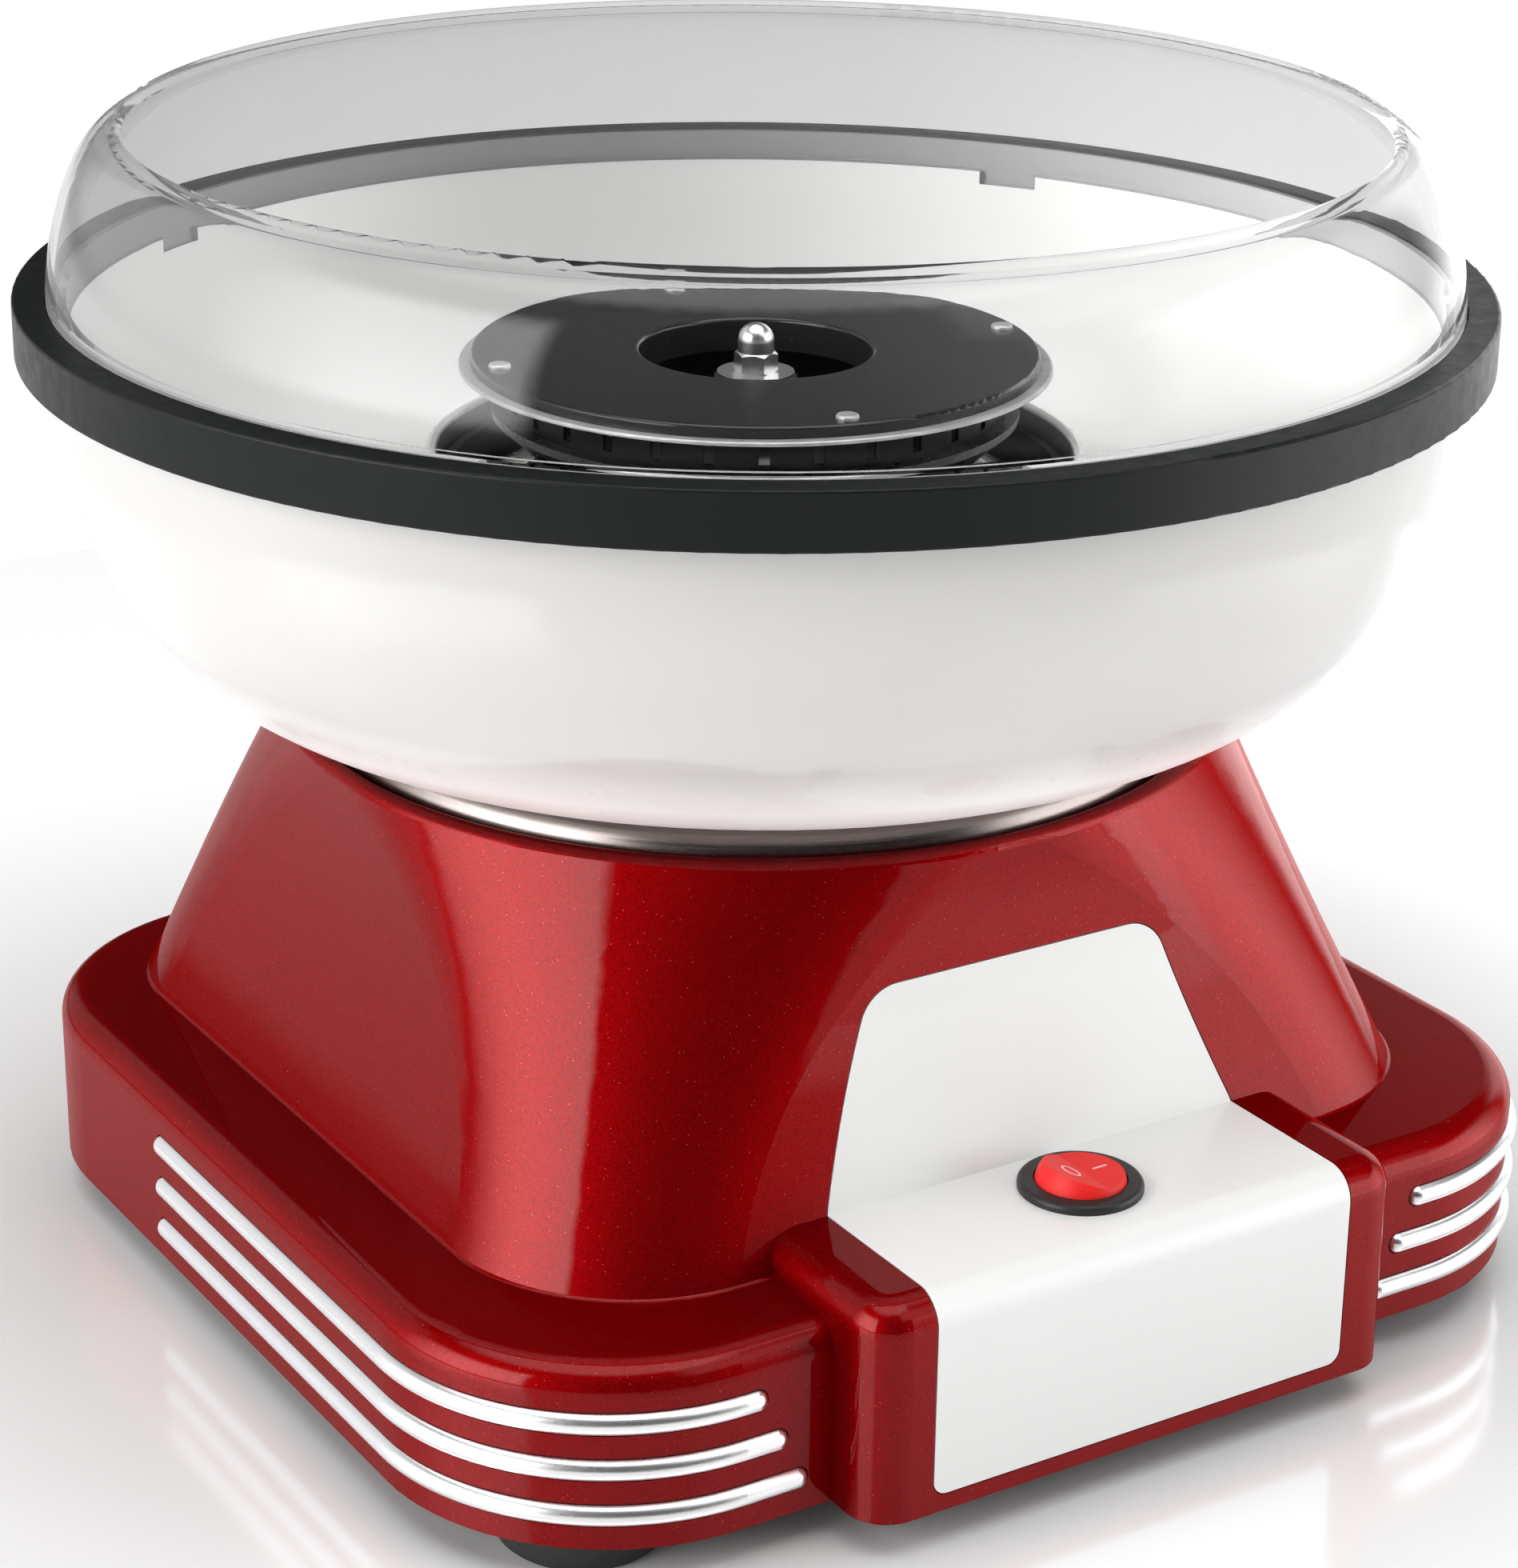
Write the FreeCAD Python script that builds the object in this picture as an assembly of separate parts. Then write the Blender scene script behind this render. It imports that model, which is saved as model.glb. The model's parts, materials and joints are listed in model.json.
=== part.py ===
import FreeCAD
import Part
import math
import os

# Cotton candy machine, millimetres, +Z up, front towards -Y.
# The origin lies on the floor, on the axis of the motor, extractor and bowl.

V = FreeCAD.Vector
UP = V(0, 0, 1)

# ---------------------------------------------------------------- clearances
SEAT_GAP = 0.3
TRIM_GAP = 0.25
SHAFT_CLEARANCE = 0.04
PIN_CLEARANCE = 0.05
SCREW_CLEARANCE = 0.3
OVERCUT = 1.0
CORNER_SHARE = 1 - math.sqrt(0.5)

# ---------------------------------------------------------------- feet
FOOT_RADIUS = 18.2
FOOT_TREAD_RADIUS = 16.8
FOOT_HEIGHT = 8.0
FOOT_EDGE = 1.0
FOOT_SIDE_INSET = 30.5
FOOT_END_INSET = 27.5
FOOT_RECESS_RADIUS = 5.2
FOOT_RECESS_DEPTH = 4.5
FOOT_SCREW_RADIUS = 2.0
FOOT_SCREW_HEAD_RADIUS = 3.9
FOOT_SCREW_HEAD_HEIGHT = 2.4

# ---------------------------------------------------------------- housing
WALL = 3.2
PLINTH_HALF_WIDTH = 131.4
PLINTH_FRONT_Y = -131.4
PLINTH_REAR_Y = 111.5
PLINTH_CORNER = 49.1
PLINTH_HEIGHT = 37.5
PLINTH_EDGE = 6.0
LEDGE_WIDTH = 21.1
TOWER_FOOT_CORNER = 40.0
TOWER_FOOT_FILLET = 0.8
TOWER_REAR_CORNER = 33.0
TOWER_REAR_INSET = 12.0
TOWER_WAIST_INSET = 1.0
TOWER_WAIST_CORNER = 60.0
TOWER_WAIST_DROP = 25.5
TOWER_TOP_RADIUS = 98.6
TOWER_RISE = 73.0
TOWER_SKIRT = 7.5
TOWER_RIM_FILLET = 1.9
BOX_SIDE_INSET = 68.6
BOX_REACH = 13.8
BOX_RISE = 7.9
BOX_CORNER = 8.5
BOX_EDGE = 6.5
BOX_DEPTH = 60.0
RIM_WIDTH = 4.2
SEAT_WIDTH = 10.4
SEAT_THICKNESS = 3.0
SEAT_DEPTH = 8.0

# ---------------------------------------------------------------- base plate
BASE_PLATE_THICKNESS = 2.5
SIDE_SCREW_YS = (50.0, -30.0)
FRONT_SCREW_INSET = 50.0
BASE_BOSS_RADIUS = 4.5
BASE_SCREW_RADIUS = 1.5
BASE_SCREW_HEAD_RADIUS = 3.0
BASE_SCREW_HEAD_HEIGHT = 1.8
BASE_SCREW_LENGTH = 14.0
PILOT_SPARE = 2.0
FOOT_BOSS_RADIUS = 5.5
FOOT_BOSS_HEIGHT = 9.0
VENT_LENGTH = 70.0
VENT_WIDTH = 4.0
VENT_PITCH = 10.0
VENT_COUNT = 9

# ---------------------------------------------------------------- front panel
PANEL_THICKNESS = 1.8
PANEL_SIDE_MARGIN = 13.9
PANEL_LOW_MARGIN = 3.65
PANEL_TAPER = 15.1
PANEL_RISE = 40.1
PANEL_LOW_CORNER = 3.0
PANEL_TOP_CORNER = 9.0

# ---------------------------------------------------------------- trim strips
STRIP_RADIUS = 2.3
STRIP_SINK = 0.7
STRIP_PITCH = 9.6
STRIP_TOP_DROP = 11.1
STRIP_BOX_MARGIN = 16.7
STRIP_FRONT_STEP = 4.5
STRIP_SIDE_Y = 19.5
STRIP_NAMES = ("top", "middle", "bottom")

# ---------------------------------------------------------------- switch
SWITCH_SETBACK = 23.2
BEZEL_RADIUS = 12.4
BEZEL_HEIGHT = 1.9
BEZEL_EDGE = 1.1
SWITCH_BODY_RADIUS = 10.8
SWITCH_BODY_DEPTH = 16.0
ROCKER_RADIUS = 9.2
ROCKER_PIVOT_DROP = 0.2
ROCKER_TOP_MID = 3.3
ROCKER_TOP_END = 5.0
ROCKER_BOTTOM = 4.8
ROCKER_TILT_DEG = 9.0
ROCKER_PIN_RADIUS = 1.1
ROCKER_PIN_REACH = 10.1
TERMINAL_WIDTH = 4.8
TERMINAL_THICKNESS = 0.8
TERMINAL_LENGTH = 8.0
TERMINAL_SPACING = 5.0

# ---------------------------------------------------------------- cord inlet
INLET_RISE = 16.0
INLET_BORE_RADIUS = 3.6
INLET_BODY_RADIUS = 6.0
INLET_FLANGE_RADIUS = 8.5
INLET_FLANGE_THICKNESS = 2.0
INLET_NUT_LENGTH = 4.0
INLET_LENGTH = 14.0

# ---------------------------------------------------------------- steel dish
SHEET = 1.0
DISH_GAP = 0.8
DISH_SHOULDER = 5.6
DISH_TUCK = 1.6
DISH_HEIGHT = 12.05
DISH_CONE_GAP = 1.8
DISH_CONE_RISE = 20.0
DISH_SHELF = 12.0
DISH_SCREW_ANGLES = (30.0, 150.0, 270.0)
DISH_SCREW_RADIUS = 1.9
DISH_SCREW_HEAD_RADIUS = 3.5
DISH_SCREW_HEAD_HEIGHT = 2.2
DISH_SCREW_INSET = 5.4
DISH_SCREW_STANDOUT = 2.0
DISH_BELLY_DROP = 1.0

# ---------------------------------------------------------------- heater
PAN_GAP = 0.8
PAN_LIP = 1.0
PAN_DEPTH = 23.0
PAN_SHAFT_GAP = 4.0
PAN_BEAD = 5.0
ELEMENT_TUBE_RADIUS = 3.2
ELEMENT_WALL_GAP = 6.4
ELEMENT_TURN_PITCH = 9.2
ELEMENT_RISE = 13.0
ELEMENT_TAIL_DEG = 60.0
ELEMENT_GAP_DEG = 24.0
ELEMENT_LEG = 14.0
ELEMENT_LEG_GAP = 1.0
CLIP_ANGLES = (-12.0, 108.0, 228.0)
CLIP_WIDTH = 5.0
CLIP_SHEET = 0.8
CLIP_POST_STEP = 1.6
CLIP_SCREW_RADIUS = 1.5
CLIP_SCREW_HEAD_RADIUS = 2.8
CLIP_SCREW_HEAD_HEIGHT = 1.6
CLIP_SCREW_STANDOUT = 0.5

# ---------------------------------------------------------------- motor
MOTOR_PLATE_SHEET = 1.5
MOTOR_PLATE_MARGIN = 7.0
MOTOR_ARM_WIDTH = 18.0
MOTOR_ARM_GAP = 1.8
MOTOR_RADIUS = 27.0
MOTOR_HEIGHT = 54.0
MOTOR_WALL = 1.5
MOTOR_EDGE = 2.0
MOTOR_BOSS_WALL = 2.5
MOTOR_BOSS_RISE = 5.0
MOTOR_CAP_HEIGHT = 9.0
MOTOR_CAP_PLUG = 3.0
MOTOR_CAP_WALL = 6.0
BEARING_WALL = 3.5
BEARING_LENGTH = 6.0
BEARING_SEAT_DEPTH = 1.5
MOTOR_SCREW_CIRCLE = 17.0
MOTOR_SCREW_RADIUS = 2.0
MOTOR_SCREW_HEAD_RADIUS = 3.5
MOTOR_SCREW_HEAD_HEIGHT = 2.4
MOTOR_SCREW_REACH = 6.0
MAGNET_THICKNESS = 4.0
MAGNET_ARC_DEG = 130.0
MAGNET_HEIGHT = 34.0
MAGNET_LIFT = 3.0
ROTOR_AIR_GAP = 0.7
ROTOR_HEIGHT = 28.0
ROTOR_SLOTS = 8
ROTOR_SLOT_WIDTH = 3.4
ROTOR_SLOT_DEPTH = 8.0
COMMUTATOR_WALL = 4.0
COMMUTATOR_HEIGHT = 8.0
BRUSH_WIDTH = 4.0

# ---------------------------------------------------------------- spinner
SHAFT_RADIUS = 3.0
SHAFT_THREAD_STEP = 0.5
SHAFT_SHOULDER_STEP = 2.0
SHAFT_SHOULDER_HEIGHT = 3.0
EXTRACTOR_RISE = 1.0
DRUM_FLOOR_RADIUS = 44.0
DRUM_TOP_RADIUS = 54.6
DRUM_RISE = 13.0
DRUM_WALL = 1.6
DRUM_EDGE_WIDTH = 3.0
DRUM_EDGE_RISE = 2.0
DRUM_HUB_WALL = 5.6
DRUM_HUB_FILLET = 4.0
DRUM_HUB_DROP = 5.9
SCREEN_INSET = 2.8
SCREEN_HEIGHT = 8.0
SCREEN_THICKNESS = 0.8
SCREEN_SLOTS = 30
SCREEN_SLOT_WIDTH = 2.2
SCREEN_BORDER = 1.5
LIP_OVERHANG = 2.5
LIP_CURL = 0.8
LID_RADIUS = 58.7
LID_THICKNESS = 2.4
LID_HOLE_RADIUS = 24.0
LID_WELL_DEPTH = 7.0
LID_WELL_WALL = 1.4
LID_EDGE = 0.8
RIVET_INSET = 4.1
RIVET_RADIUS = 1.4
RIVET_HEAD_RADIUS = 2.3
RIVET_HEAD_HEIGHT = 0.9
RIVET_FIRST_DEG = -13.0
WASHER_RADIUS = 8.0
WASHER_THICKNESS = 1.0
NUT_ACROSS_FLATS = 8.0
NUT_HEX_HEIGHT = 4.2
NUT_HEIGHT = 10.2
NUT_DOME_STEP = 0.25
NUT_LOW_CHAMFER_WIDTH = 0.5
NUT_LOW_CHAMFER_HEIGHT = 0.4
NUT_TOP_CHAMFER_WIDTH = 0.9
NUT_TOP_CHAMFER_HEIGHT = 0.6
NUT_THREAD_SPARE = 2.5

# ---------------------------------------------------------------- bowl
BOWL_WALL = 2.4
BOWL_FLAT_RADIUS = 75.7
BOWL_RADIUS = 141.9
BOWL_DEPTH = 72.55
BOWL_PULL_OUT = 60.2
BOWL_PULL_DOWN = 31.9
COLLAR_FOOT_RADIUS = 76.4
COLLAR_TOP_RADIUS = 66.0
COLLAR_RISE = 47.65
COLLAR_ROUND = 5.0
RIM_STEP_OUT = 1.4
RIM_WALL = 2.0
RIM_RISE = 10.6
RIM_STEP_RISE = 4.1
RIM_FLANGE_RISE = 4.7
RIM_FLANGE_REACH = 3.7
RIM_FLANGE_THICKNESS = 2.0
NOTCH_COUNT = 4
NOTCH_FIRST_DEG = 33.0
NOTCH_WIDTH = 14.0
NOTCH_DEPTH = 3.0

# ---------------------------------------------------------------- ring
RING_WIDTH = 6.4
RING_HEIGHT = 11.3
RING_DROP = 0.3
RING_EDGE = 0.6

# ---------------------------------------------------------------- guard
GUARD_WALL = 1.8
GUARD_MOUTH_INSET = 13.7
GUARD_RISE = 33.2
GUARD_PULL_UP = 9.7
GUARD_PULL_OUT = 8.2
GUARD_BEAD = 1.35
GUARD_SHOULDER_DROP = 0.9

# ---------------------------------------------------------------- derived heights
FLOOR_Z = FOOT_HEIGHT
LEDGE_Z = FLOOR_Z + PLINTH_HEIGHT
TOWER_TOP_Z = LEDGE_Z + TOWER_RISE
BOX_TOP_Z = LEDGE_Z + BOX_RISE
PLATE_TOP_Z = FLOOR_Z + BASE_PLATE_THICKNESS
PANEL_LOW_Z = FLOOR_Z + PANEL_LOW_MARGIN
PANEL_TOP_Z = BOX_TOP_Z + PANEL_RISE
PIVOT_Z = BOX_TOP_Z - ROCKER_PIVOT_DROP
INLET_Z = FLOOR_Z + INLET_RISE
SEAT_Z = TOWER_TOP_Z - SEAT_DEPTH
DISH_LOW_Z = SEAT_Z + MOTOR_PLATE_SHEET
DISH_TOP_Z = DISH_LOW_Z + DISH_HEIGHT
PAN_LOW_Z = DISH_TOP_Z + DISH_CONE_RISE
PAN_TOP_Z = PAN_LOW_Z + PAN_DEPTH
ELEMENT_Z = PAN_LOW_Z + SHEET + ELEMENT_RISE
MOTOR_TOP_Z = SEAT_Z
MOTOR_LOW_Z = MOTOR_TOP_Z - MOTOR_HEIGHT
DRUM_FLOOR_Z = PAN_TOP_Z + EXTRACTOR_RISE
DRUM_TOP_Z = DRUM_FLOOR_Z + DRUM_RISE
LIP_Z = DRUM_TOP_Z + SCREEN_HEIGHT
LID_LOW_Z = LIP_Z + SHEET
LID_TOP_Z = LID_LOW_Z + LID_THICKNESS
DRUM_HUB_TOP_Z = LID_TOP_Z - DRUM_HUB_DROP
WASHER_TOP_Z = DRUM_HUB_TOP_Z + WASHER_THICKNESS
BOWL_FLOOR_Z = DISH_TOP_Z + SEAT_GAP
BOWL_RIM_Z = BOWL_FLOOR_Z + BOWL_DEPTH
COLLAR_TOP_Z = BOWL_FLOOR_Z + COLLAR_RISE
RIM_STEP_Z = BOWL_RIM_Z + RIM_STEP_RISE
RIM_FLANGE_Z = BOWL_RIM_Z + RIM_FLANGE_RISE
RIM_TOP_Z = BOWL_RIM_Z + RIM_RISE
RING_LOW_Z = BOWL_RIM_Z - RING_DROP
RING_TOP_Z = RING_LOW_Z + RING_HEIGHT
GUARD_TOP_Z = RIM_TOP_Z + SEAT_GAP + GUARD_RISE

# ---------------------------------------------------------------- derived widths
TOWER_FOOT_HALF = PLINTH_HALF_WIDTH - LEDGE_WIDTH
TOWER_FOOT_FRONT_Y = PLINTH_FRONT_Y + LEDGE_WIDTH
TOWER_FOOT_REAR_Y = PLINTH_REAR_Y - TOWER_REAR_INSET
TOWER_WAIST_HALF = TOWER_TOP_RADIUS - TOWER_WAIST_INSET
BOX_HALF_WIDTH = PLINTH_HALF_WIDTH - BOX_SIDE_INSET
BOX_FRONT_Y = PLINTH_FRONT_Y - BOX_REACH
BOX_REAR_Y = BOX_FRONT_Y + BOX_DEPTH
SWITCH_Y = BOX_FRONT_Y + SWITCH_SETBACK
PANEL_HALF_WIDTH = BOX_HALF_WIDTH - PANEL_SIDE_MARGIN
PANEL_TOP_HALF_WIDTH = PANEL_HALF_WIDTH - PANEL_TAPER
STRIP_TOP_Z = LEDGE_Z - STRIP_TOP_DROP
STRIP_FRONT_X = BOX_HALF_WIDTH + STRIP_BOX_MARGIN
DISH_HOLE_RADIUS = TOWER_TOP_RADIUS - RIM_WIDTH
SEAT_HOLE_RADIUS = DISH_HOLE_RADIUS - SEAT_WIDTH
DISH_RADIUS = DISH_HOLE_RADIUS - DISH_GAP
DISH_SEAT_RADIUS = DISH_RADIUS - DISH_SHOULDER
DISH_SCREW_CIRCLE = DISH_RADIUS - DISH_SCREW_INSET
PAN_LIP_RADIUS = COLLAR_TOP_RADIUS - PAN_GAP
PAN_RADIUS = PAN_LIP_RADIUS - PAN_LIP
DISH_CONE_TOP = PAN_RADIUS + SEAT_GAP
DISH_CONE_FOOT = COLLAR_FOOT_RADIUS - DISH_CONE_GAP
ELEMENT_OUTER_CIRCLE = PAN_RADIUS - ELEMENT_WALL_GAP
ELEMENT_INNER_CIRCLE = ELEMENT_OUTER_CIRCLE - ELEMENT_TURN_PITCH
ELEMENT_MIDDLE_CIRCLE = (ELEMENT_OUTER_CIRCLE + ELEMENT_INNER_CIRCLE) / 2
MOTOR_PLATE_RADIUS = MOTOR_RADIUS + MOTOR_PLATE_MARGIN
MOTOR_ARM_REACH = DISH_HOLE_RADIUS - MOTOR_ARM_GAP
BEARING_RADIUS = SHAFT_RADIUS + BEARING_WALL
MOTOR_BOSS_RADIUS = BEARING_RADIUS + MOTOR_BOSS_WALL
COMMUTATOR_RADIUS = SHAFT_RADIUS + COMMUTATOR_WALL
SHAFT_THREAD_RADIUS = SHAFT_RADIUS - SHAFT_THREAD_STEP
SHAFT_SHOULDER_RADIUS = SHAFT_RADIUS + SHAFT_SHOULDER_STEP
PAN_SHAFT_HOLE = SHAFT_SHOULDER_RADIUS + PAN_SHAFT_GAP
DRUM_HUB_RADIUS = SHAFT_RADIUS + DRUM_HUB_WALL
SCREEN_RADIUS = DRUM_TOP_RADIUS - SCREEN_INSET
LIP_RADIUS = LID_RADIUS + LIP_OVERHANG
RIVET_CIRCLE = LID_RADIUS - RIVET_INSET
NUT_DOME_RADIUS = NUT_ACROSS_FLATS / 2 - NUT_DOME_STEP
RIM_RADIUS = BOWL_RADIUS + RIM_STEP_OUT
RIM_REBATE_RADIUS = RIM_RADIUS - RIM_WALL
RIM_FLANGE_RADIUS = RIM_RADIUS + RIM_FLANGE_REACH
RING_INNER_RADIUS = RIM_RADIUS + SEAT_GAP
RING_RADIUS = RING_INNER_RADIUS + RING_WIDTH
GUARD_MOUTH_RADIUS = RIM_RADIUS - GUARD_MOUTH_INSET


# ---------------------------------------------------------------- helpers
def polar(radius, degrees, z=0.0):
    angle = math.radians(degrees)
    return V(radius * math.cos(angle), radius * math.sin(angle), z)


def cylinder(radius, z_low, z_high, x=0.0, y=0.0):
    return Part.makeCylinder(radius, z_high - z_low, V(x, y, z_low))


def tube(outer, inner, z_low, z_high, x=0.0, y=0.0):
    return cylinder(outer, z_low, z_high, x, y).cut(cylinder(inner, z_low, z_high, x, y))


def block(x0, x1, y0, y1, z0, z1):
    return Part.makeBox(x1 - x0, y1 - y0, z1 - z0, V(x0, y0, z0))


def turned(start, *steps):
    """Solid of revolution about Z. Points are (radius, z); a step is a point for a line,
    ("arc", middle, end) or ("bezier", control, control, end). The profile closes by a line."""

    def place(point):
        return V(point[0], 0, point[1])

    edges = []
    here = place(start)
    for step in steps:
        if step[0] == "arc":
            there = place(step[2])
            edges.append(Part.Arc(here, place(step[1]), there).toShape())
        elif step[0] == "bezier":
            there = place(step[3])
            curve = Part.BezierCurve()
            curve.setPoles([here, place(step[1]), place(step[2]), there])
            edges.append(curve.toShape())
        else:
            there = place(step)
            edges.append(Part.LineSegment(here, there).toShape())
        here = there
    if here.distanceToPoint(place(start)) > 1e-6:
        edges.append(Part.LineSegment(here, place(start)).toShape())
    return Part.Face(Part.Wire(edges)).revolve(V(0, 0, 0), UP, 360)


def rounded_polygon(points, radii):
    """Closed wire through points, each corner rounded by its radius."""
    count = len(points)
    edges = []
    ends = []
    for i, point in enumerate(points):
        before = (points[i - 1] - point).normalize()
        after = (points[(i + 1) % count] - point).normalize()
        half = before.getAngle(after) / 2
        reach = radii[i] / math.tan(half)
        middle = (before + after).normalize() * (radii[i] / math.sin(half) - radii[i])
        ends.append((point + before * reach, point + middle, point + after * reach))
    for i, (_, _, leave) in enumerate(ends):
        arrive, middle, away = ends[(i + 1) % count]
        if leave.distanceToPoint(arrive) > 1e-6:
            edges.append(Part.LineSegment(leave, arrive).toShape())
        if arrive.distanceToPoint(away) > 1e-6:
            edges.append(Part.Arc(arrive, middle, away).toShape())
    return Part.Wire(edges)


def rounded_rectangle(x0, x1, y0, y1, radius, z, rear_radius=None):
    corners = [V(x0, y0, z), V(x1, y0, z), V(x1, y1, z), V(x0, y1, z)]
    rear = radius if rear_radius is None else rear_radius
    return rounded_polygon(corners, [radius, radius, rear, rear])


def extruded(wire, direction):
    return Part.Face(wire).extrude(direction)


def mirrored(shape):
    return shape.mirror(V(0, 0, 0), V(1, 0, 0))


def fuse_all(shapes):
    return shapes[0].multiFuse(shapes[1:]).removeSplitter()


# ---------------------------------------------------------------- housing forms
def plinth_form(inset, z_low):
    """Low rounded base block, moved inwards by inset."""
    outline = rounded_rectangle(
        -PLINTH_HALF_WIDTH + inset,
        PLINTH_HALF_WIDTH - inset,
        PLINTH_FRONT_Y + inset,
        PLINTH_REAR_Y - inset,
        PLINTH_CORNER - inset,
        z_low,
    )
    top = LEDGE_Z - inset
    form = extruded(outline, UP * (top - z_low))
    edges = [e for e in form.Edges if e.BoundBox.ZMin > top - 0.01]
    return form.makeFillet(PLINTH_EDGE - inset, edges)


def tower_section(half, corner, inset, z):
    side = half - inset
    return rounded_rectangle(-side, side, -side, side, corner - inset, z)


def tower_form(inset):
    """Pillar that changes from a rounded square at the ledge to a circle at its rim."""
    foot = rounded_rectangle(
        -TOWER_FOOT_HALF + inset,
        TOWER_FOOT_HALF - inset,
        TOWER_FOOT_FRONT_Y + inset,
        TOWER_FOOT_REAR_Y - inset,
        TOWER_FOOT_CORNER - inset,
        LEDGE_Z,
        TOWER_REAR_CORNER - inset,
    )
    waist_z = TOWER_TOP_Z - TOWER_WAIST_DROP
    waist = tower_section(TOWER_WAIST_HALF, TOWER_WAIST_CORNER, inset, waist_z)
    crown_half = TOWER_TOP_RADIUS
    crown = tower_section(crown_half, crown_half * 0.985, inset, TOWER_TOP_Z)
    pillar = Part.makeLoft([foot, waist, crown], True, False)
    skirt = extruded(foot, UP * -TOWER_SKIRT)
    return pillar.fuse(skirt)


def box_form(inset, z_low):
    """Switch box that stands out of the front."""
    half = BOX_HALF_WIDTH - inset
    front = BOX_FRONT_Y + inset
    top = BOX_TOP_Z - inset
    form = block(-half, half, front, BOX_REAR_Y, z_low, top)
    uprights = [
        e
        for e in form.Edges
        if e.BoundBox.ZLength > 1 and e.BoundBox.YMax < front + 0.01
    ]
    form = form.makeFillet(BOX_CORNER - inset, uprights)
    rim = [
        e
        for e in form.Edges
        if e.BoundBox.ZMin > top - 0.01 and e.BoundBox.YMin < BOX_REAR_Y - 0.01
    ]
    return form.makeFillet(BOX_EDGE - inset, rim)


def housing_form(inset, z_low):
    return fuse_all([plinth_form(inset, z_low), tower_form(inset), box_form(inset, z_low)])


def tower_outside():
    """Tower with the outer edge of its rim rounded."""
    tower = tower_form(0.0)
    rim = [e for e in tower.Edges if e.BoundBox.ZMin > TOWER_TOP_Z - 0.01]
    return tower.makeFillet(TOWER_RIM_FILLET, rim)


def dish_hole():
    """Hole that the dish drops into, flared at the top to round the rim's inner edge."""
    flare = DISH_HOLE_RADIUS + TOWER_RIM_FILLET
    round_low_z = TOWER_TOP_Z - TOWER_RIM_FILLET
    slack = TOWER_RIM_FILLET * CORNER_SHARE
    return turned(
        (0, SEAT_Z),
        (DISH_HOLE_RADIUS, SEAT_Z),
        (DISH_HOLE_RADIUS, round_low_z),
        ("arc", (DISH_HOLE_RADIUS + slack, TOWER_TOP_Z - slack), (flare, TOWER_TOP_Z)),
        (flare, TOWER_TOP_Z + OVERCUT),
        (0, TOWER_TOP_Z + OVERCUT),
    )


def housing_outside():
    """Outer form, with a fillet where the tower meets the ledge."""
    form = plinth_form(0.0, FLOOR_Z).fuse(tower_outside()).removeSplitter()
    foot_front = [
        e
        for e in form.Edges
        if abs(e.BoundBox.ZMin - LEDGE_Z) < 0.01
        and abs(e.BoundBox.YMin - TOWER_FOOT_FRONT_Y) < 0.01
        and abs(e.BoundBox.YMax - TOWER_FOOT_FRONT_Y) < 0.01
    ]
    form = form.makeFillet(TOWER_FOOT_FILLET, foot_front)
    return form.fuse(box_form(0.0, FLOOR_Z))


def panel_zone(grow):
    """Prism along Y whose outline is the front panel seen from the front."""
    points = [
        V(-PANEL_HALF_WIDTH, 0, PANEL_LOW_Z),
        V(PANEL_HALF_WIDTH, 0, PANEL_LOW_Z),
        V(PANEL_HALF_WIDTH, 0, BOX_TOP_Z),
        V(PANEL_TOP_HALF_WIDTH, 0, PANEL_TOP_Z),
        V(-PANEL_TOP_HALF_WIDTH, 0, PANEL_TOP_Z),
        V(-PANEL_HALF_WIDTH, 0, BOX_TOP_Z),
    ]
    waist = PANEL_TOP_CORNER
    radii = [PANEL_LOW_CORNER, PANEL_LOW_CORNER, waist, waist, waist, waist]
    wire = rounded_polygon(points, radii)
    if grow:
        wire = wire.makeOffset2D(grow)
    wire.translate(V(0, BOX_FRONT_Y - 1, 0))
    return extruded(wire, V(0, BOX_REAR_Y - BOX_FRONT_Y, 0))


# ---------------------------------------------------------------- trim strips
def strip_centre_z(row):
    return STRIP_TOP_Z - row * STRIP_PITCH


def strip_form(row, radius):
    """Half-round bar, bent round the right front corner, with ball ends."""
    z = strip_centre_z(row)
    side_x = PLINTH_HALF_WIDTH - STRIP_SINK
    front_y = PLINTH_FRONT_Y + STRIP_SINK
    bend = PLINTH_CORNER - STRIP_SINK
    centre_x = side_x - bend
    centre_y = front_y + bend
    front_x = STRIP_FRONT_X - row * STRIP_FRONT_STEP
    middle = bend * math.sqrt(0.5)
    start = V(side_x, STRIP_SIDE_Y, z)
    corner_in = V(side_x, centre_y, z)
    corner_mid = V(centre_x + middle, centre_y - middle, z)
    corner_out = V(centre_x, front_y, z)
    end = V(front_x, front_y, z)
    path = Part.Wire(
        [
            Part.LineSegment(start, corner_in).toShape(),
            Part.Arc(corner_in, corner_mid, corner_out).toShape(),
            Part.LineSegment(corner_out, end).toShape(),
        ]
    )
    section = Part.Wire([Part.Circle(start, V(0, 1, 0), radius).toShape()])
    rod = path.makePipeShell([section], True, False)
    balls = [Part.makeSphere(radius, start), Part.makeSphere(radius, end)]
    return rod.multiFuse(balls)


def strip_backing():
    """Plinth block up to the backs of the strips."""
    return extruded(
        rounded_rectangle(
            -PLINTH_HALF_WIDTH + STRIP_SINK,
            PLINTH_HALF_WIDTH - STRIP_SINK,
            PLINTH_FRONT_Y + STRIP_SINK,
            PLINTH_REAR_Y,
            PLINTH_CORNER - STRIP_SINK,
            FLOOR_Z,
        ),
        UP * PLINTH_HEIGHT,
    )


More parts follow.
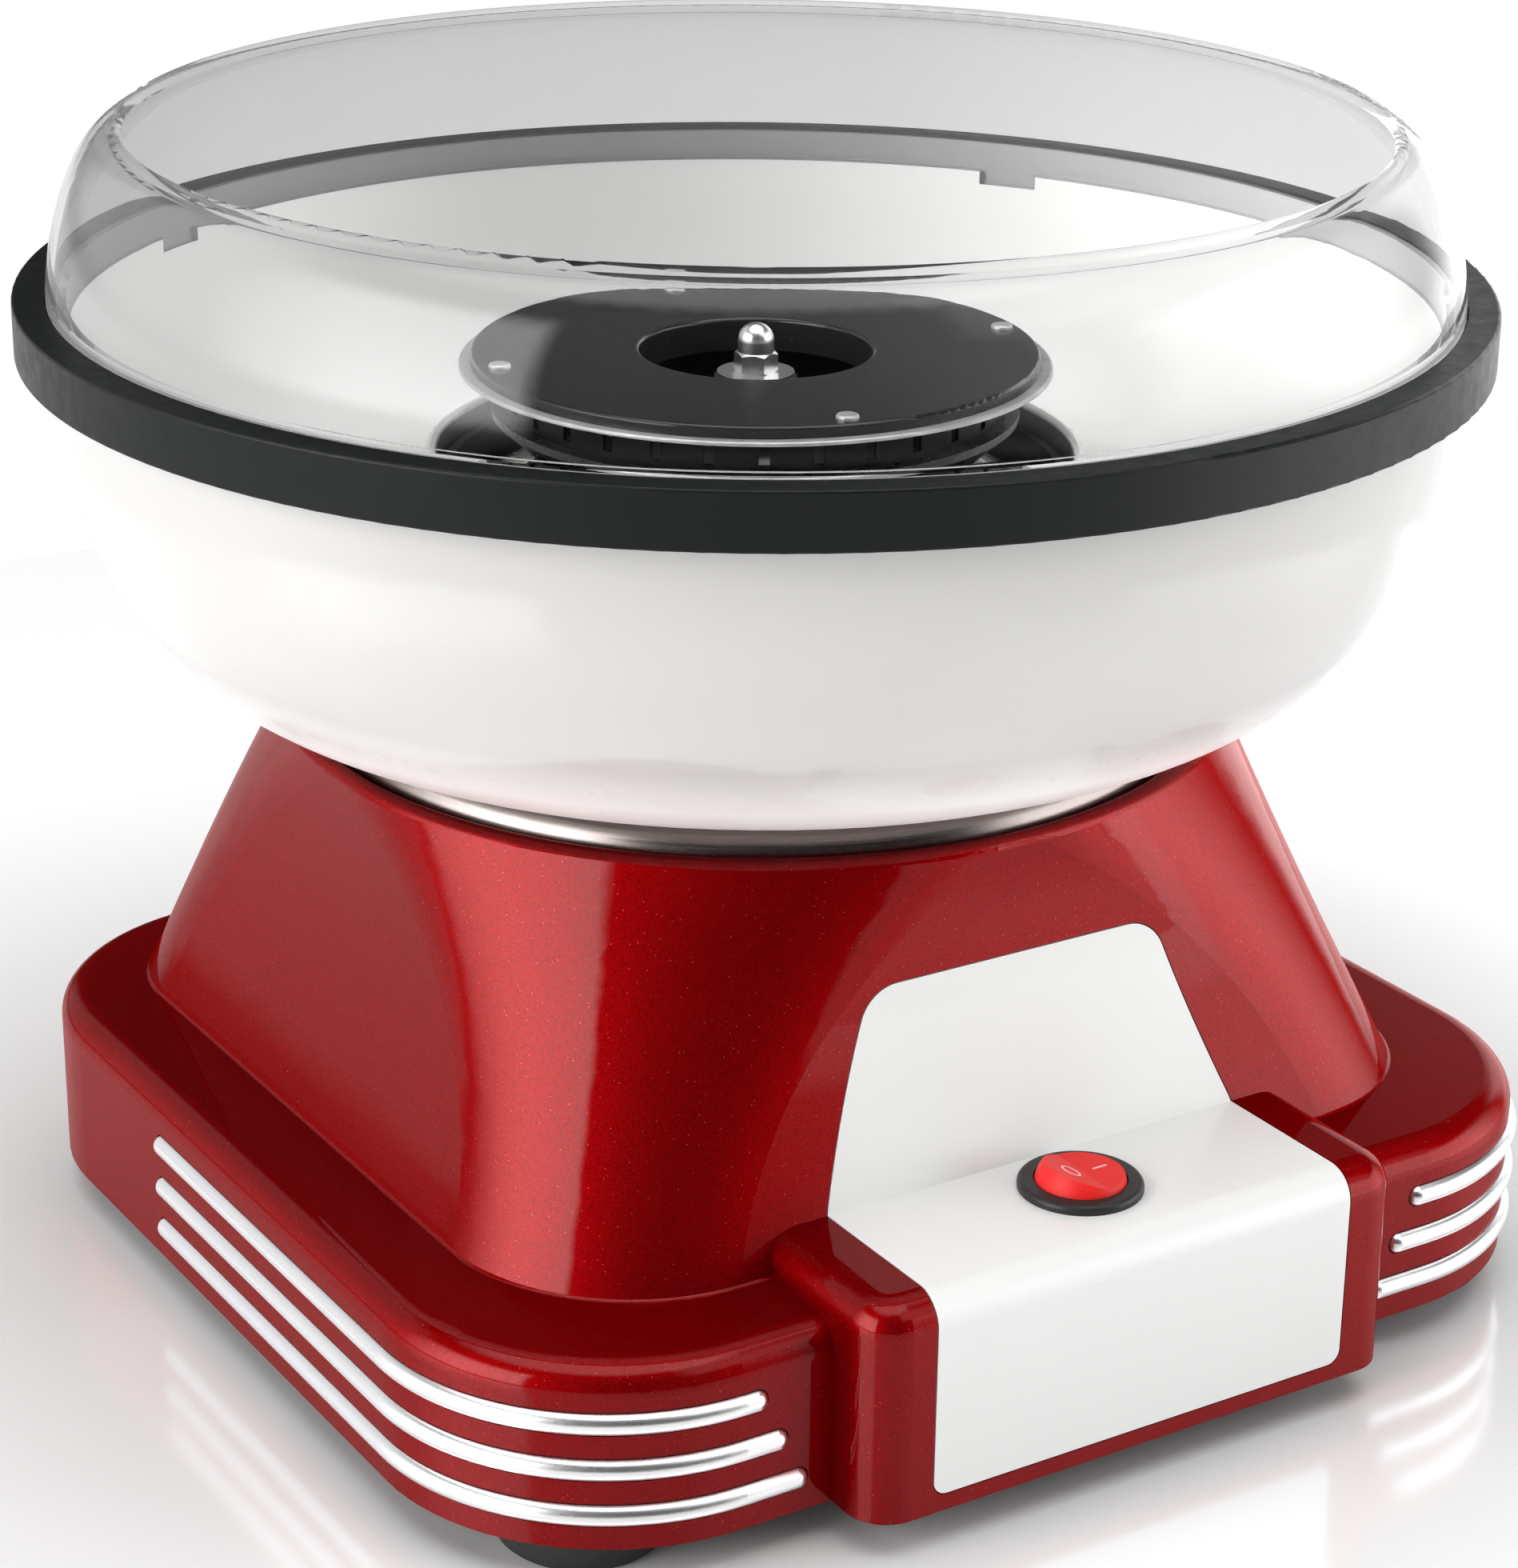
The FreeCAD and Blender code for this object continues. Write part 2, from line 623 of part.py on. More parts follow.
def trim_strips():
    backing = strip_backing()
    strips = {}
    for row, name in enumerate(STRIP_NAMES):
        right = strip_form(row, STRIP_RADIUS).cut(backing)
        strips["trim_strip_right_" + name] = right
        strips["trim_strip_left_" + name] = mirrored(right)
    return strips


# ---------------------------------------------------------------- housing
def base_screw_places():
    """Screws stand under the middle of the ledge, at its sides and its front."""
    ledge_middle = PLINTH_HALF_WIDTH - WALL - LEDGE_WIDTH / 2
    front_y = PLINTH_FRONT_Y + WALL + LEDGE_WIDTH / 2
    front_x = PLINTH_HALF_WIDTH - FRONT_SCREW_INSET
    places = [(ledge_middle, y) for y in SIDE_SCREW_YS] + [(front_x, front_y)]
    return [(side * x, y) for x, y in places for side in (-1, 1)]


def foot_places():
    x = PLINTH_HALF_WIDTH - FOOT_SIDE_INSET
    front_y = PLINTH_FRONT_Y + FOOT_END_INSET
    rear_y = PLINTH_REAR_Y - FOOT_END_INSET
    return {
        "foot_front_left": (-x, front_y),
        "foot_front_right": (x, front_y),
        "foot_rear_left": (-x, rear_y),
        "foot_rear_right": (x, rear_y),
    }


def switch_hole():
    """Round cut-out for the switch, through the top of the box."""
    low = BOX_TOP_Z - SWITCH_BODY_DEPTH
    return cylinder(SWITCH_BODY_RADIUS + TRIM_GAP, low, BOX_TOP_Z + OVERCUT, 0, SWITCH_Y)


def housing():
    shell = housing_outside().cut(dish_hole())
    ledge_low = SEAT_Z - SEAT_THICKNESS
    inside = housing_form(WALL, FLOOR_Z - 1)
    inside = inside.cut(cylinder(PLINTH_HALF_WIDTH * 2, ledge_low, TOWER_TOP_Z + 1))
    shell = shell.cut(inside)
    cuts = [cylinder(SEAT_HOLE_RADIUS, ledge_low - 1, SEAT_Z + 1)]
    for degrees in DISH_SCREW_ANGLES:
        spot = polar(DISH_SCREW_CIRCLE, degrees)
        radius = DISH_SCREW_RADIUS + SCREW_CLEARANCE
        cuts.append(cylinder(radius, ledge_low - 1, SEAT_Z + 1, spot.x, spot.y))
    cuts.append(panel_zone(TRIM_GAP).cut(housing_form(PANEL_THICKNESS, FLOOR_Z)))
    cuts.append(switch_hole())
    cuts.append(
        Part.makeCylinder(
            INLET_BODY_RADIUS + TRIM_GAP,
            WALL + 2 * OVERCUT,
            V(0, PLINTH_REAR_Y - WALL - OVERCUT, INLET_Z),
            V(0, 1, 0),
        )
    )
    for row in range(len(STRIP_NAMES)):
        groove = strip_form(row, STRIP_RADIUS + TRIM_GAP)
        groove = groove.cut(strip_backing())
        cuts.extend([groove, mirrored(groove)])
    shell = shell.cut(cuts)
    bosses = []
    pilots = []
    for x, y in base_screw_places():
        bosses.append(cylinder(BASE_BOSS_RADIUS, PLATE_TOP_Z, LEDGE_Z - WALL / 2, x, y))
        reach = FLOOR_Z + BASE_SCREW_LENGTH + PILOT_SPARE
        pilots.append(cylinder(BASE_SCREW_RADIUS, PLATE_TOP_Z - 1, reach, x, y))
    return shell.multiFuse(bosses).cut(pilots)


def front_panel():
    skin = panel_zone(0.0).common(housing_form(0.0, FLOOR_Z))
    skin = skin.cut(housing_form(PANEL_THICKNESS, FLOOR_Z))
    return skin.cut(switch_hole())


def base_plate():
    inset = WALL + TRIM_GAP
    main = rounded_rectangle(
        -PLINTH_HALF_WIDTH + inset,
        PLINTH_HALF_WIDTH - inset,
        PLINTH_FRONT_Y + inset,
        PLINTH_REAR_Y - inset,
        PLINTH_CORNER - inset,
        FLOOR_Z,
    )
    plate = extruded(main, UP * BASE_PLATE_THICKNESS)
    tongue = box_form(inset, FLOOR_Z).common(
        block(-PLINTH_HALF_WIDTH, PLINTH_HALF_WIDTH, BOX_FRONT_Y, 0, FLOOR_Z, PLATE_TOP_Z)
    )
    pieces = [plate, tongue]
    cuts = []
    for x, y in foot_places().values():
        pieces.append(cylinder(FOOT_BOSS_RADIUS, FLOOR_Z, PLATE_TOP_Z + FOOT_BOSS_HEIGHT, x, y))
        top = PLATE_TOP_Z + FOOT_BOSS_HEIGHT + 1
        cuts.append(cylinder(FOOT_SCREW_RADIUS, FLOOR_Z - 1, top, x, y))
    for x, y in base_screw_places():
        radius = BASE_SCREW_RADIUS + SCREW_CLEARANCE
        cuts.append(cylinder(radius, FLOOR_Z - 1, PLATE_TOP_Z + 1, x, y))
    first = -VENT_PITCH * (VENT_COUNT - 1) / 2
    for i in range(VENT_COUNT):
        y = first + i * VENT_PITCH
        slot = rounded_rectangle(
            -VENT_LENGTH / 2,
            VENT_LENGTH / 2,
            y - VENT_WIDTH / 2,
            y + VENT_WIDTH / 2,
            VENT_WIDTH * 0.49,
            FLOOR_Z - 1,
        )
        cuts.append(extruded(slot, UP * (BASE_PLATE_THICKNESS + 2)))
    return fuse_all(pieces).cut(cuts)


# ---------------------------------------------------------------- feet and base screws
def foot(x, y):
    form = turned(
        (FOOT_SCREW_RADIUS + SCREW_CLEARANCE, FOOT_RECESS_DEPTH),
        (FOOT_RECESS_RADIUS, FOOT_RECESS_DEPTH),
        (FOOT_RECESS_RADIUS, 0),
        (FOOT_TREAD_RADIUS - FOOT_EDGE, 0),
        (FOOT_TREAD_RADIUS, FOOT_EDGE),
        (FOOT_RADIUS, FOOT_HEIGHT - FOOT_EDGE),
        (FOOT_RADIUS - FOOT_EDGE / 2, FOOT_HEIGHT),
        (FOOT_SCREW_RADIUS + SCREW_CLEARANCE, FOOT_HEIGHT),
    )
    form.translate(V(x, y, 0))
    return form


def pan_head_screw(radius, head_radius, head_height, seat_z, tip_z, x, y):
    """Screw with its head below seat_z and its tip at tip_z, or the other way up."""
    low, high = sorted((seat_z, tip_z))
    shank = cylinder(radius, low, high, x, y)
    if tip_z > seat_z:
        head = cylinder(head_radius, seat_z - head_height, seat_z, x, y)
        outer = seat_z - head_height
        socket = cylinder(head_radius * 0.45, outer - 0.1, outer + head_height / 2, x, y)
    else:
        head = cylinder(head_radius, seat_z, seat_z + head_height, x, y)
        outer = seat_z + head_height
        socket = cylinder(head_radius * 0.45, outer - head_height / 2, outer + 0.1, x, y)
    rim = [e for e in head.Edges if abs(e.BoundBox.ZMin - outer) < 0.01 and e.BoundBox.ZLength < 0.01]
    head = head.makeFillet(head_height * 0.4, rim)
    return shank.fuse(head).cut(socket)


def foot_screws():
    tip = PLATE_TOP_Z + FOOT_BOSS_HEIGHT
    return [
        pan_head_screw(
            FOOT_SCREW_RADIUS,
            FOOT_SCREW_HEAD_RADIUS,
            FOOT_SCREW_HEAD_HEIGHT,
            FOOT_RECESS_DEPTH,
            tip,
            x,
            y,
        )
        for x, y in foot_places().values()
    ]


def base_screws():
    return [
        pan_head_screw(
            BASE_SCREW_RADIUS,
            BASE_SCREW_HEAD_RADIUS,
            BASE_SCREW_HEAD_HEIGHT,
            FLOOR_Z,
            FLOOR_Z + BASE_SCREW_LENGTH,
            x,
            y,
        )
        for x, y in base_screw_places()
    ]


# ---------------------------------------------------------------- switch
def switch_body():
    flange = cylinder(BEZEL_RADIUS, BOX_TOP_Z, BOX_TOP_Z + BEZEL_HEIGHT, 0, SWITCH_Y)
    rim = [e for e in flange.Edges if e.BoundBox.ZMin > BOX_TOP_Z + BEZEL_HEIGHT - 0.01]
    flange = flange.makeFillet(BEZEL_EDGE, rim)
    low = BOX_TOP_Z - SWITCH_BODY_DEPTH
    barrel = cylinder(SWITCH_BODY_RADIUS, low, BOX_TOP_Z, 0, SWITCH_Y)
    pocket = Part.makeSphere(ROCKER_RADIUS + SEAT_GAP, V(0, SWITCH_Y, PIVOT_Z))
    bearing = Part.makeCylinder(
        ROCKER_PIN_RADIUS + PIN_CLEARANCE,
        2 * ROCKER_PIN_REACH + 2 * PIN_CLEARANCE,
        V(0, SWITCH_Y - ROCKER_PIN_REACH - PIN_CLEARANCE, PIVOT_Z),
        V(0, 1, 0),
    )
    return flange.fuse(barrel).cut([pocket, bearing]).removeSplitter()


def rocker():
    """Rocker at rest with its right side pressed."""
    wide = ROCKER_RADIUS + 1
    points = [
        V(-wide, 0, -ROCKER_BOTTOM),
        V(wide, 0, -ROCKER_BOTTOM),
        V(wide, 0, ROCKER_TOP_END),
        V(0, 0, ROCKER_TOP_MID),
        V(-wide, 0, ROCKER_TOP_END),
    ]
    profile = Part.makePolygon(points + [points[0]])
    profile.translate(V(0, -wide, 0))
    key = extruded(profile, V(0, 2 * wide, 0)).common(Part.makeSphere(ROCKER_RADIUS))
    pin = Part.makeCylinder(
        ROCKER_PIN_RADIUS, 2 * ROCKER_PIN_REACH, V(0, -ROCKER_PIN_REACH, 0), V(0, 1, 0)
    )
    key = key.fuse(pin)
    key.rotate(V(0, 0, 0), V(0, 1, 0), ROCKER_TILT_DEG)
    key.translate(V(0, SWITCH_Y, PIVOT_Z))
    return key


def switch_terminals():
    top = BOX_TOP_Z - SWITCH_BODY_DEPTH
    blades = []
    for side in (-1, 0, 1):
        x = side * TERMINAL_SPACING
        blade = block(
            x - TERMINAL_THICKNESS / 2,
            x + TERMINAL_THICKNESS / 2,
            SWITCH_Y - TERMINAL_WIDTH / 2,
            SWITCH_Y + TERMINAL_WIDTH / 2,
            top - TERMINAL_LENGTH,
            top,
        )
        eye = Part.makeCylinder(
            TERMINAL_THICKNESS,
            TERMINAL_THICKNESS * 2,
            V(x - TERMINAL_THICKNESS, SWITCH_Y, top - TERMINAL_LENGTH * 0.65),
            V(1, 0, 0),
        )
        blades.append(blade.cut(eye))
    return blades


# ---------------------------------------------------------------- cord inlet
def cord_inlet():
    start = V(0, PLINTH_REAR_Y + INLET_FLANGE_THICKNESS - INLET_LENGTH, INLET_Z)
    along = V(0, 1, 0)
    body = Part.makeCylinder(INLET_BODY_RADIUS, INLET_LENGTH, start, along)
    flange = Part.makeCylinder(
        INLET_FLANGE_RADIUS, INLET_FLANGE_THICKNESS, V(0, PLINTH_REAR_Y, INLET_Z), along
    )
    flange = flange.makeFillet(
        INLET_FLANGE_THICKNESS * 0.4,
        [e for e in flange.Edges if e.BoundBox.YMin > PLINTH_REAR_Y + 1],
    )
    nut_start = V(0, PLINTH_REAR_Y - WALL - INLET_NUT_LENGTH, INLET_Z)
    nut = Part.makeCylinder(INLET_FLANGE_RADIUS, INLET_NUT_LENGTH, nut_start, along)
    bore = Part.makeCylinder(INLET_BORE_RADIUS, INLET_LENGTH, start, along)
    return fuse_all([body, flange, nut]).cut(bore)


# ---------------------------------------------------------------- steel dish and heater
def steel_dish():
    """Pressed dish that carries the bowl: rolled edge, flat seat and raised centre cone."""
    top = DISH_TOP_Z
    low = DISH_LOW_Z
    belly_z = (low + top) / 2 - DISH_BELLY_DROP
    outer_low = DISH_RADIUS - DISH_TUCK
    t = SHEET
    flange = SEAT_HOLE_RADIUS + SEAT_GAP
    shelf = DISH_CONE_TOP - DISH_SHELF
    dish = turned(
        (flange, low),
        (outer_low, low),
        ("arc", (DISH_RADIUS, belly_z), (DISH_SEAT_RADIUS, top)),
        (DISH_CONE_FOOT, top),
        (DISH_CONE_TOP, PAN_LOW_Z),
        (shelf, PAN_LOW_Z),
        (shelf, PAN_LOW_Z - t),
        (DISH_CONE_TOP - t, PAN_LOW_Z - t),
        (DISH_CONE_FOOT - t, top - t),
        (DISH_SEAT_RADIUS, top - t),
        ("arc", (DISH_RADIUS - t, belly_z), (outer_low - t, low + t)),
        (flange, low + t),
    )
    holes = []
    for degrees in DISH_SCREW_ANGLES:
        spot = polar(DISH_SCREW_CIRCLE, degrees)
        holes.append(cylinder(DISH_SCREW_RADIUS, low - 1, low + t + 1, spot.x, spot.y))
    for degrees in CLIP_ANGLES:
        spot = polar(ELEMENT_MIDDLE_CIRCLE, degrees)
        holes.append(
            cylinder(CLIP_SCREW_RADIUS, PAN_LOW_Z - t - 1, PAN_LOW_Z + 1, spot.x, spot.y)
        )
    return dish.cut(holes + element_leg_holes())


def dish_screws():
    return [
        pan_head_screw(
            DISH_SCREW_RADIUS,
            DISH_SCREW_HEAD_RADIUS,
            DISH_SCREW_HEAD_HEIGHT,
            SEAT_Z - SEAT_THICKNESS,
            DISH_LOW_Z + SHEET + DISH_SCREW_STANDOUT,
            spot.x,
            spot.y,
        )
        for spot in (polar(DISH_SCREW_CIRCLE, a) for a in DISH_SCREW_ANGLES)
    ]


def element_leg_spots():
    return (
        polar(ELEMENT_OUTER_CIRCLE, ELEMENT_TAIL_DEG),
        polar(ELEMENT_INNER_CIRCLE, ELEMENT_TAIL_DEG),
    )


def element_leg_holes():
    return [
        cylinder(
            ELEMENT_TUBE_RADIUS + ELEMENT_LEG_GAP,
            PAN_LOW_Z - SHEET - OVERCUT,
            PAN_LOW_Z + SHEET + OVERCUT,
            spot.x,
            spot.y,
        )
        for spot in element_leg_spots()
    ]


def heater_pan():
    low = PAN_LOW_Z
    top = PAN_TOP_Z
    t = SHEET
    r = PAN_RADIUS
    slack = PAN_BEAD * CORNER_SHARE
    slack_in = (PAN_BEAD - t) * CORNER_SHARE
    pan = turned(
        (PAN_SHAFT_HOLE, low),
        (r - PAN_BEAD, low),
        ("arc", (r - slack, low + slack), (r, low + PAN_BEAD)),
        (r, top - t * 1.5),
        (PAN_LIP_RADIUS, top - t),
        (PAN_LIP_RADIUS, top),
        (r - t, top),
        (r - t, low + PAN_BEAD),
        ("arc", (r - t - slack_in, low + t + slack_in), (r - PAN_BEAD, low + t)),
        (PAN_SHAFT_HOLE, low + t),
    )
    holes = []
    for degrees in CLIP_ANGLES:
        spot = polar(ELEMENT_MIDDLE_CIRCLE, degrees)
        holes.append(cylinder(CLIP_SCREW_RADIUS, low - 1, low + t + 1, spot.x, spot.y))
    return pan.cut(holes + element_leg_holes())


def heating_element():
    """Tubular heater: two turns joined by a bend, with both tails going down."""
    start_deg = ELEMENT_TAIL_DEG
    sweep = 360 - ELEMENT_GAP_DEG
    pieces = []
    for circle in (ELEMENT_OUTER_CIRCLE, ELEMENT_INNER_CIRCLE):
        section = Part.Face(
            Part.Wire([Part.Circle(V(circle, 0, ELEMENT_Z), V(0, 1, 0), ELEMENT_TUBE_RADIUS).toShape()])
        )
        turn = section.revolve(V(0, 0, 0), UP, sweep)
        turn.rotate(V(0, 0, 0), UP, start_deg)
        pieces.append(turn)
        tail = polar(circle, start_deg, ELEMENT_Z)
        pieces.append(Part.makeSphere(ELEMENT_TUBE_RADIUS, tail))
        low = PAN_LOW_Z - ELEMENT_LEG
        pieces.append(cylinder(ELEMENT_TUBE_RADIUS, low, ELEMENT_Z, tail.x, tail.y))
        bend_end = polar(circle, start_deg + sweep, ELEMENT_Z)
        pieces.append(Part.makeSphere(ELEMENT_TUBE_RADIUS, bend_end))
    inner = polar(ELEMENT_INNER_CIRCLE, start_deg + sweep, ELEMENT_Z)
    outward = polar(1, start_deg + sweep)
    pieces.append(
        Part.makeCylinder(
            ELEMENT_TUBE_RADIUS, ELEMENT_OUTER_CIRCLE - ELEMENT_INNER_CIRCLE, inner, outward
        )
    )
    return fuse_all(pieces)


def element_clips():
    """Bent straps that stand on the pan and clamp both turns of the heater."""
    clips = []
    floor = PAN_LOW_Z + SHEET
    t = CLIP_SHEET
    inner = ELEMENT_INNER_CIRCLE - ELEMENT_TUBE_RADIUS - t
    outer = ELEMENT_OUTER_CIRCLE + ELEMENT_TUBE_RADIUS + t
    half = CLIP_WIDTH / 2
    top = ELEMENT_Z + ELEMENT_TUBE_RADIUS + t
    bed = ELEMENT_Z - ELEMENT_TUBE_RADIUS
    middle = ELEMENT_MIDDLE_CIRCLE
    step = CLIP_POST_STEP
    for degrees in CLIP_ANGLES:
        parts = [
            block(inner, outer, -half, half, top - t, top),
            block(inner, outer, -half, half, bed - t, bed),
            block(inner, inner + t, -half, half, bed - t, top),
            block(outer - t, outer, -half, half, bed - t, top),
            block(middle - step * 2, middle + step * 2, -half, half, floor, floor + t),
            block(middle + step, middle + step + t, -half, half, floor, bed),
        ]
        clip = fuse_all(parts)
        clip = clip.cut(cylinder(CLIP_SCREW_RADIUS, floor - 1, floor + t + 1, middle, 0))
        clip.rotate(V(0, 0, 0), UP, degrees)
        clips.append(clip)
    return clips


def clip_screws():
    middle = ELEMENT_MIDDLE_CIRCLE
    seat = PAN_LOW_Z - SHEET
    tip = PAN_LOW_Z + SHEET + CLIP_SHEET + CLIP_SCREW_STANDOUT
    return [
        pan_head_screw(
            CLIP_SCREW_RADIUS,
            CLIP_SCREW_HEAD_RADIUS,
            CLIP_SCREW_HEAD_HEIGHT,
            seat,
            tip,
            spot.x,
            spot.y,
        )
        for spot in (polar(middle, a) for a in CLIP_ANGLES)
    ]


# ---------------------------------------------------------------- motor
def motor_plate():
    """Three-armed steel spider between the housing ledge and the dish."""
    low = SEAT_Z
    top = SEAT_Z + MOTOR_PLATE_SHEET
    pieces = [cylinder(MOTOR_PLATE_RADIUS, low, top)]
    cuts = [cylinder(MOTOR_BOSS_RADIUS + TRIM_GAP, low - 1, top + 1)]
    for degrees in DISH_SCREW_ANGLES:
        half = MOTOR_ARM_WIDTH / 2
        arm = block(0, MOTOR_ARM_REACH, -half, half, low, top)
        arm = arm.common(cylinder(MOTOR_ARM_REACH, low, top))
        arm.rotate(V(0, 0, 0), UP, degrees)
        pieces.append(arm)
        spot = polar(DISH_SCREW_CIRCLE, degrees)
        radius = DISH_SCREW_RADIUS + SCREW_CLEARANCE
        cuts.append(cylinder(radius, low - 1, top + 1, spot.x, spot.y))
    for side in (-1, 1):
        radius = MOTOR_SCREW_RADIUS + SCREW_CLEARANCE
        cuts.append(cylinder(radius, low - 1, top + 1, side * MOTOR_SCREW_CIRCLE, 0))
    return fuse_all(pieces).cut(cuts)


def motor_case():
    low = MOTOR_LOW_Z
    top = MOTOR_TOP_Z
    case = cylinder(MOTOR_RADIUS, low, top)
    case = case.makeFillet(MOTOR_EDGE, [e for e in case.Edges if e.BoundBox.ZMin > top - 0.01])
    boss = cylinder(MOTOR_BOSS_RADIUS, top - MOTOR_WALL, top + MOTOR_BOSS_RISE)
    inside = cylinder(MOTOR_RADIUS - MOTOR_WALL, low - 1, top - MOTOR_WALL)
    seat = cylinder(BEARING_RADIUS, top - MOTOR_WALL - OVERCUT, top + MOTOR_BOSS_RISE + OVERCUT)
    cuts = [inside, seat]
    for side in (-1, 1):
        x = side * MOTOR_SCREW_CIRCLE
        cuts.append(cylinder(MOTOR_SCREW_RADIUS, top - MOTOR_WALL - 1, top + 1, x, 0))
    return case.fuse(boss).cut(cuts)


def motor_end_cap():
    low = MOTOR_LOW_Z - MOTOR_CAP_HEIGHT
    inner = MOTOR_RADIUS - MOTOR_WALL - TRIM_GAP
    plug = cylinder(inner, low, MOTOR_LOW_Z + MOTOR_CAP_PLUG)
    rim = cylinder(MOTOR_RADIUS, MOTOR_LOW_Z - MOTOR_CAP_PLUG, MOTOR_LOW_Z)
    hollow = cylinder(
        MOTOR_RADIUS - MOTOR_CAP_WALL, MOTOR_LOW_Z - OVERCUT, MOTOR_LOW_Z + MOTOR_CAP_PLUG + OVERCUT
    )
    seat = cylinder(BEARING_RADIUS, low + BEARING_SEAT_DEPTH, MOTOR_LOW_Z)
    return fuse_all([plug, rim]).cut([hollow, seat])


def bearing(z_low):
    return tube(BEARING_RADIUS, SHAFT_RADIUS + SHAFT_CLEARANCE, z_low, z_low + BEARING_LENGTH)


def magnet_centre_z():
    return (MOTOR_LOW_Z + MOTOR_TOP_Z) / 2 + MAGNET_LIFT


def motor_magnets():
    outer = MOTOR_RADIUS - MOTOR_WALL
    inner = outer - MAGNET_THICKNESS
    low = magnet_centre_z() - MAGNET_HEIGHT / 2
    high = low + MAGNET_HEIGHT
    magnets = []
    for first in (-MAGNET_ARC_DEG / 2, 180 - MAGNET_ARC_DEG / 2):
        section = Part.makePolygon(
            [V(inner, 0, low), V(outer, 0, low), V(outer, 0, high), V(inner, 0, high), V(inner, 0, low)]
        )
        magnet = Part.Face(section).revolve(V(0, 0, 0), UP, MAGNET_ARC_DEG)
        magnet.rotate(V(0, 0, 0), UP, first)
        magnets.append(magnet)
    return magnets


def rotor():
    radius = MOTOR_RADIUS - MOTOR_WALL - MAGNET_THICKNESS - ROTOR_AIR_GAP
    low = magnet_centre_z() - ROTOR_HEIGHT / 2
    high = low + ROTOR_HEIGHT
    core = tube(radius, SHAFT_RADIUS, low, high)
    cuts = []
    for i in range(ROTOR_SLOTS):
        half = ROTOR_SLOT_WIDTH / 2
        slot = block(radius - ROTOR_SLOT_DEPTH, radius + 1, -half, half, low - 1, high + 1)
        slot.rotate(V(0, 0, 0), UP, i * 360 / ROTOR_SLOTS)
        cuts.append(slot)
    return core.cut(cuts)


def commutator_low_z():
    return MOTOR_LOW_Z + MOTOR_CAP_PLUG


def commutator():
    low = commutator_low_z()
    return tube(COMMUTATOR_RADIUS, SHAFT_RADIUS, low, low + COMMUTATOR_HEIGHT)


def motor_brushes():
    half = BRUSH_WIDTH / 2
    z = commutator_low_z() + COMMUTATOR_HEIGHT / 2
    inner = COMMUTATOR_RADIUS + SEAT_GAP
    outer = math.sqrt((MOTOR_RADIUS - MOTOR_WALL) ** 2 - half**2)
    return [
        block(*sorted((side * inner, side * outer)), -half, half, z - half, z + half)
        for side in (-1, 1)
    ]


def motor_screws():
    seat = SEAT_Z + MOTOR_PLATE_SHEET
    return [
        pan_head_screw(
            MOTOR_SCREW_RADIUS,
            MOTOR_SCREW_HEAD_RADIUS,
            MOTOR_SCREW_HEAD_HEIGHT,
            seat,
            SEAT_Z - MOTOR_SCREW_REACH,
            side * MOTOR_SCREW_CIRCLE,
            0,
        )
        for side in (-1, 1)
    ]


# ---------------------------------------------------------------- spinner
def motor_shaft():
    low = MOTOR_LOW_Z - MOTOR_CAP_HEIGHT + 2
    thread_top = WASHER_TOP_Z + NUT_HEX_HEIGHT + 2
    shoulder_low = DRUM_FLOOR_Z - SHAFT_SHOULDER_HEIGHT
    return fuse_all(
        [
            cylinder(SHAFT_RADIUS, low, DRUM_HUB_TOP_Z - 2),
            cylinder(SHAFT_SHOULDER_RADIUS, shoulder_low, DRUM_FLOOR_Z),
            cylinder(SHAFT_THREAD_RADIUS, DRUM_HUB_TOP_Z - 2, thread_top),
        ]
    )


def extractor_drum():
    """Spun sugar cup with a coned wall, a top flange and a hub on the shaft."""
    floor = DRUM_FLOOR_Z
    w = DRUM_WALL
    bore = SHAFT_RADIUS + SHAFT_CLEARANCE
    flange_in = SCREEN_RADIUS - SCREEN_THICKNESS - w
    hub_slack = DRUM_HUB_FILLET * CORNER_SHARE
    cup = turned(
        (bore, floor),
        (DRUM_FLOOR_RADIUS - DRUM_EDGE_WIDTH, floor),
        (DRUM_FLOOR_RADIUS, floor + DRUM_EDGE_RISE),
        (DRUM_TOP_RADIUS, DRUM_TOP_Z - w),
        (DRUM_TOP_RADIUS, DRUM_TOP_Z),
        (flange_in, DRUM_TOP_Z),
        (DRUM_FLOOR_RADIUS - w * 1.5, floor + DRUM_EDGE_RISE + w),
        (DRUM_HUB_RADIUS + DRUM_HUB_FILLET, floor + w),
        (
            "arc",
            (DRUM_HUB_RADIUS + hub_slack, floor + w + hub_slack),
            (DRUM_HUB_RADIUS, floor + w + DRUM_HUB_FILLET),
        ),
        (DRUM_HUB_RADIUS, DRUM_HUB_TOP_Z),
        (bore, DRUM_HUB_TOP_Z),
    )
    return cup


def extractor_screen():
    ring = tube(SCREEN_RADIUS, SCREEN_RADIUS - SCREEN_THICKNESS, DRUM_TOP_Z, LIP_Z)
    cuts = []
    half = SCREEN_SLOT_WIDTH / 2
    low = DRUM_TOP_Z + SCREEN_BORDER
    high = LIP_Z - SCREEN_BORDER
    for i in range(SCREEN_SLOTS):
        inner = SCREEN_RADIUS - 2 * SCREEN_THICKNESS
        slot = block(inner, SCREEN_RADIUS + 1, -half, half, low, high)
        slot.rotate(V(0, 0, 0), UP, i * 360 / SCREEN_SLOTS)
        cuts.append(slot)
    return ring.cut(cuts)


def rivet_spots():
    return [polar(RIVET_CIRCLE, RIVET_FIRST_DEG + 90 * i) for i in range(4)]


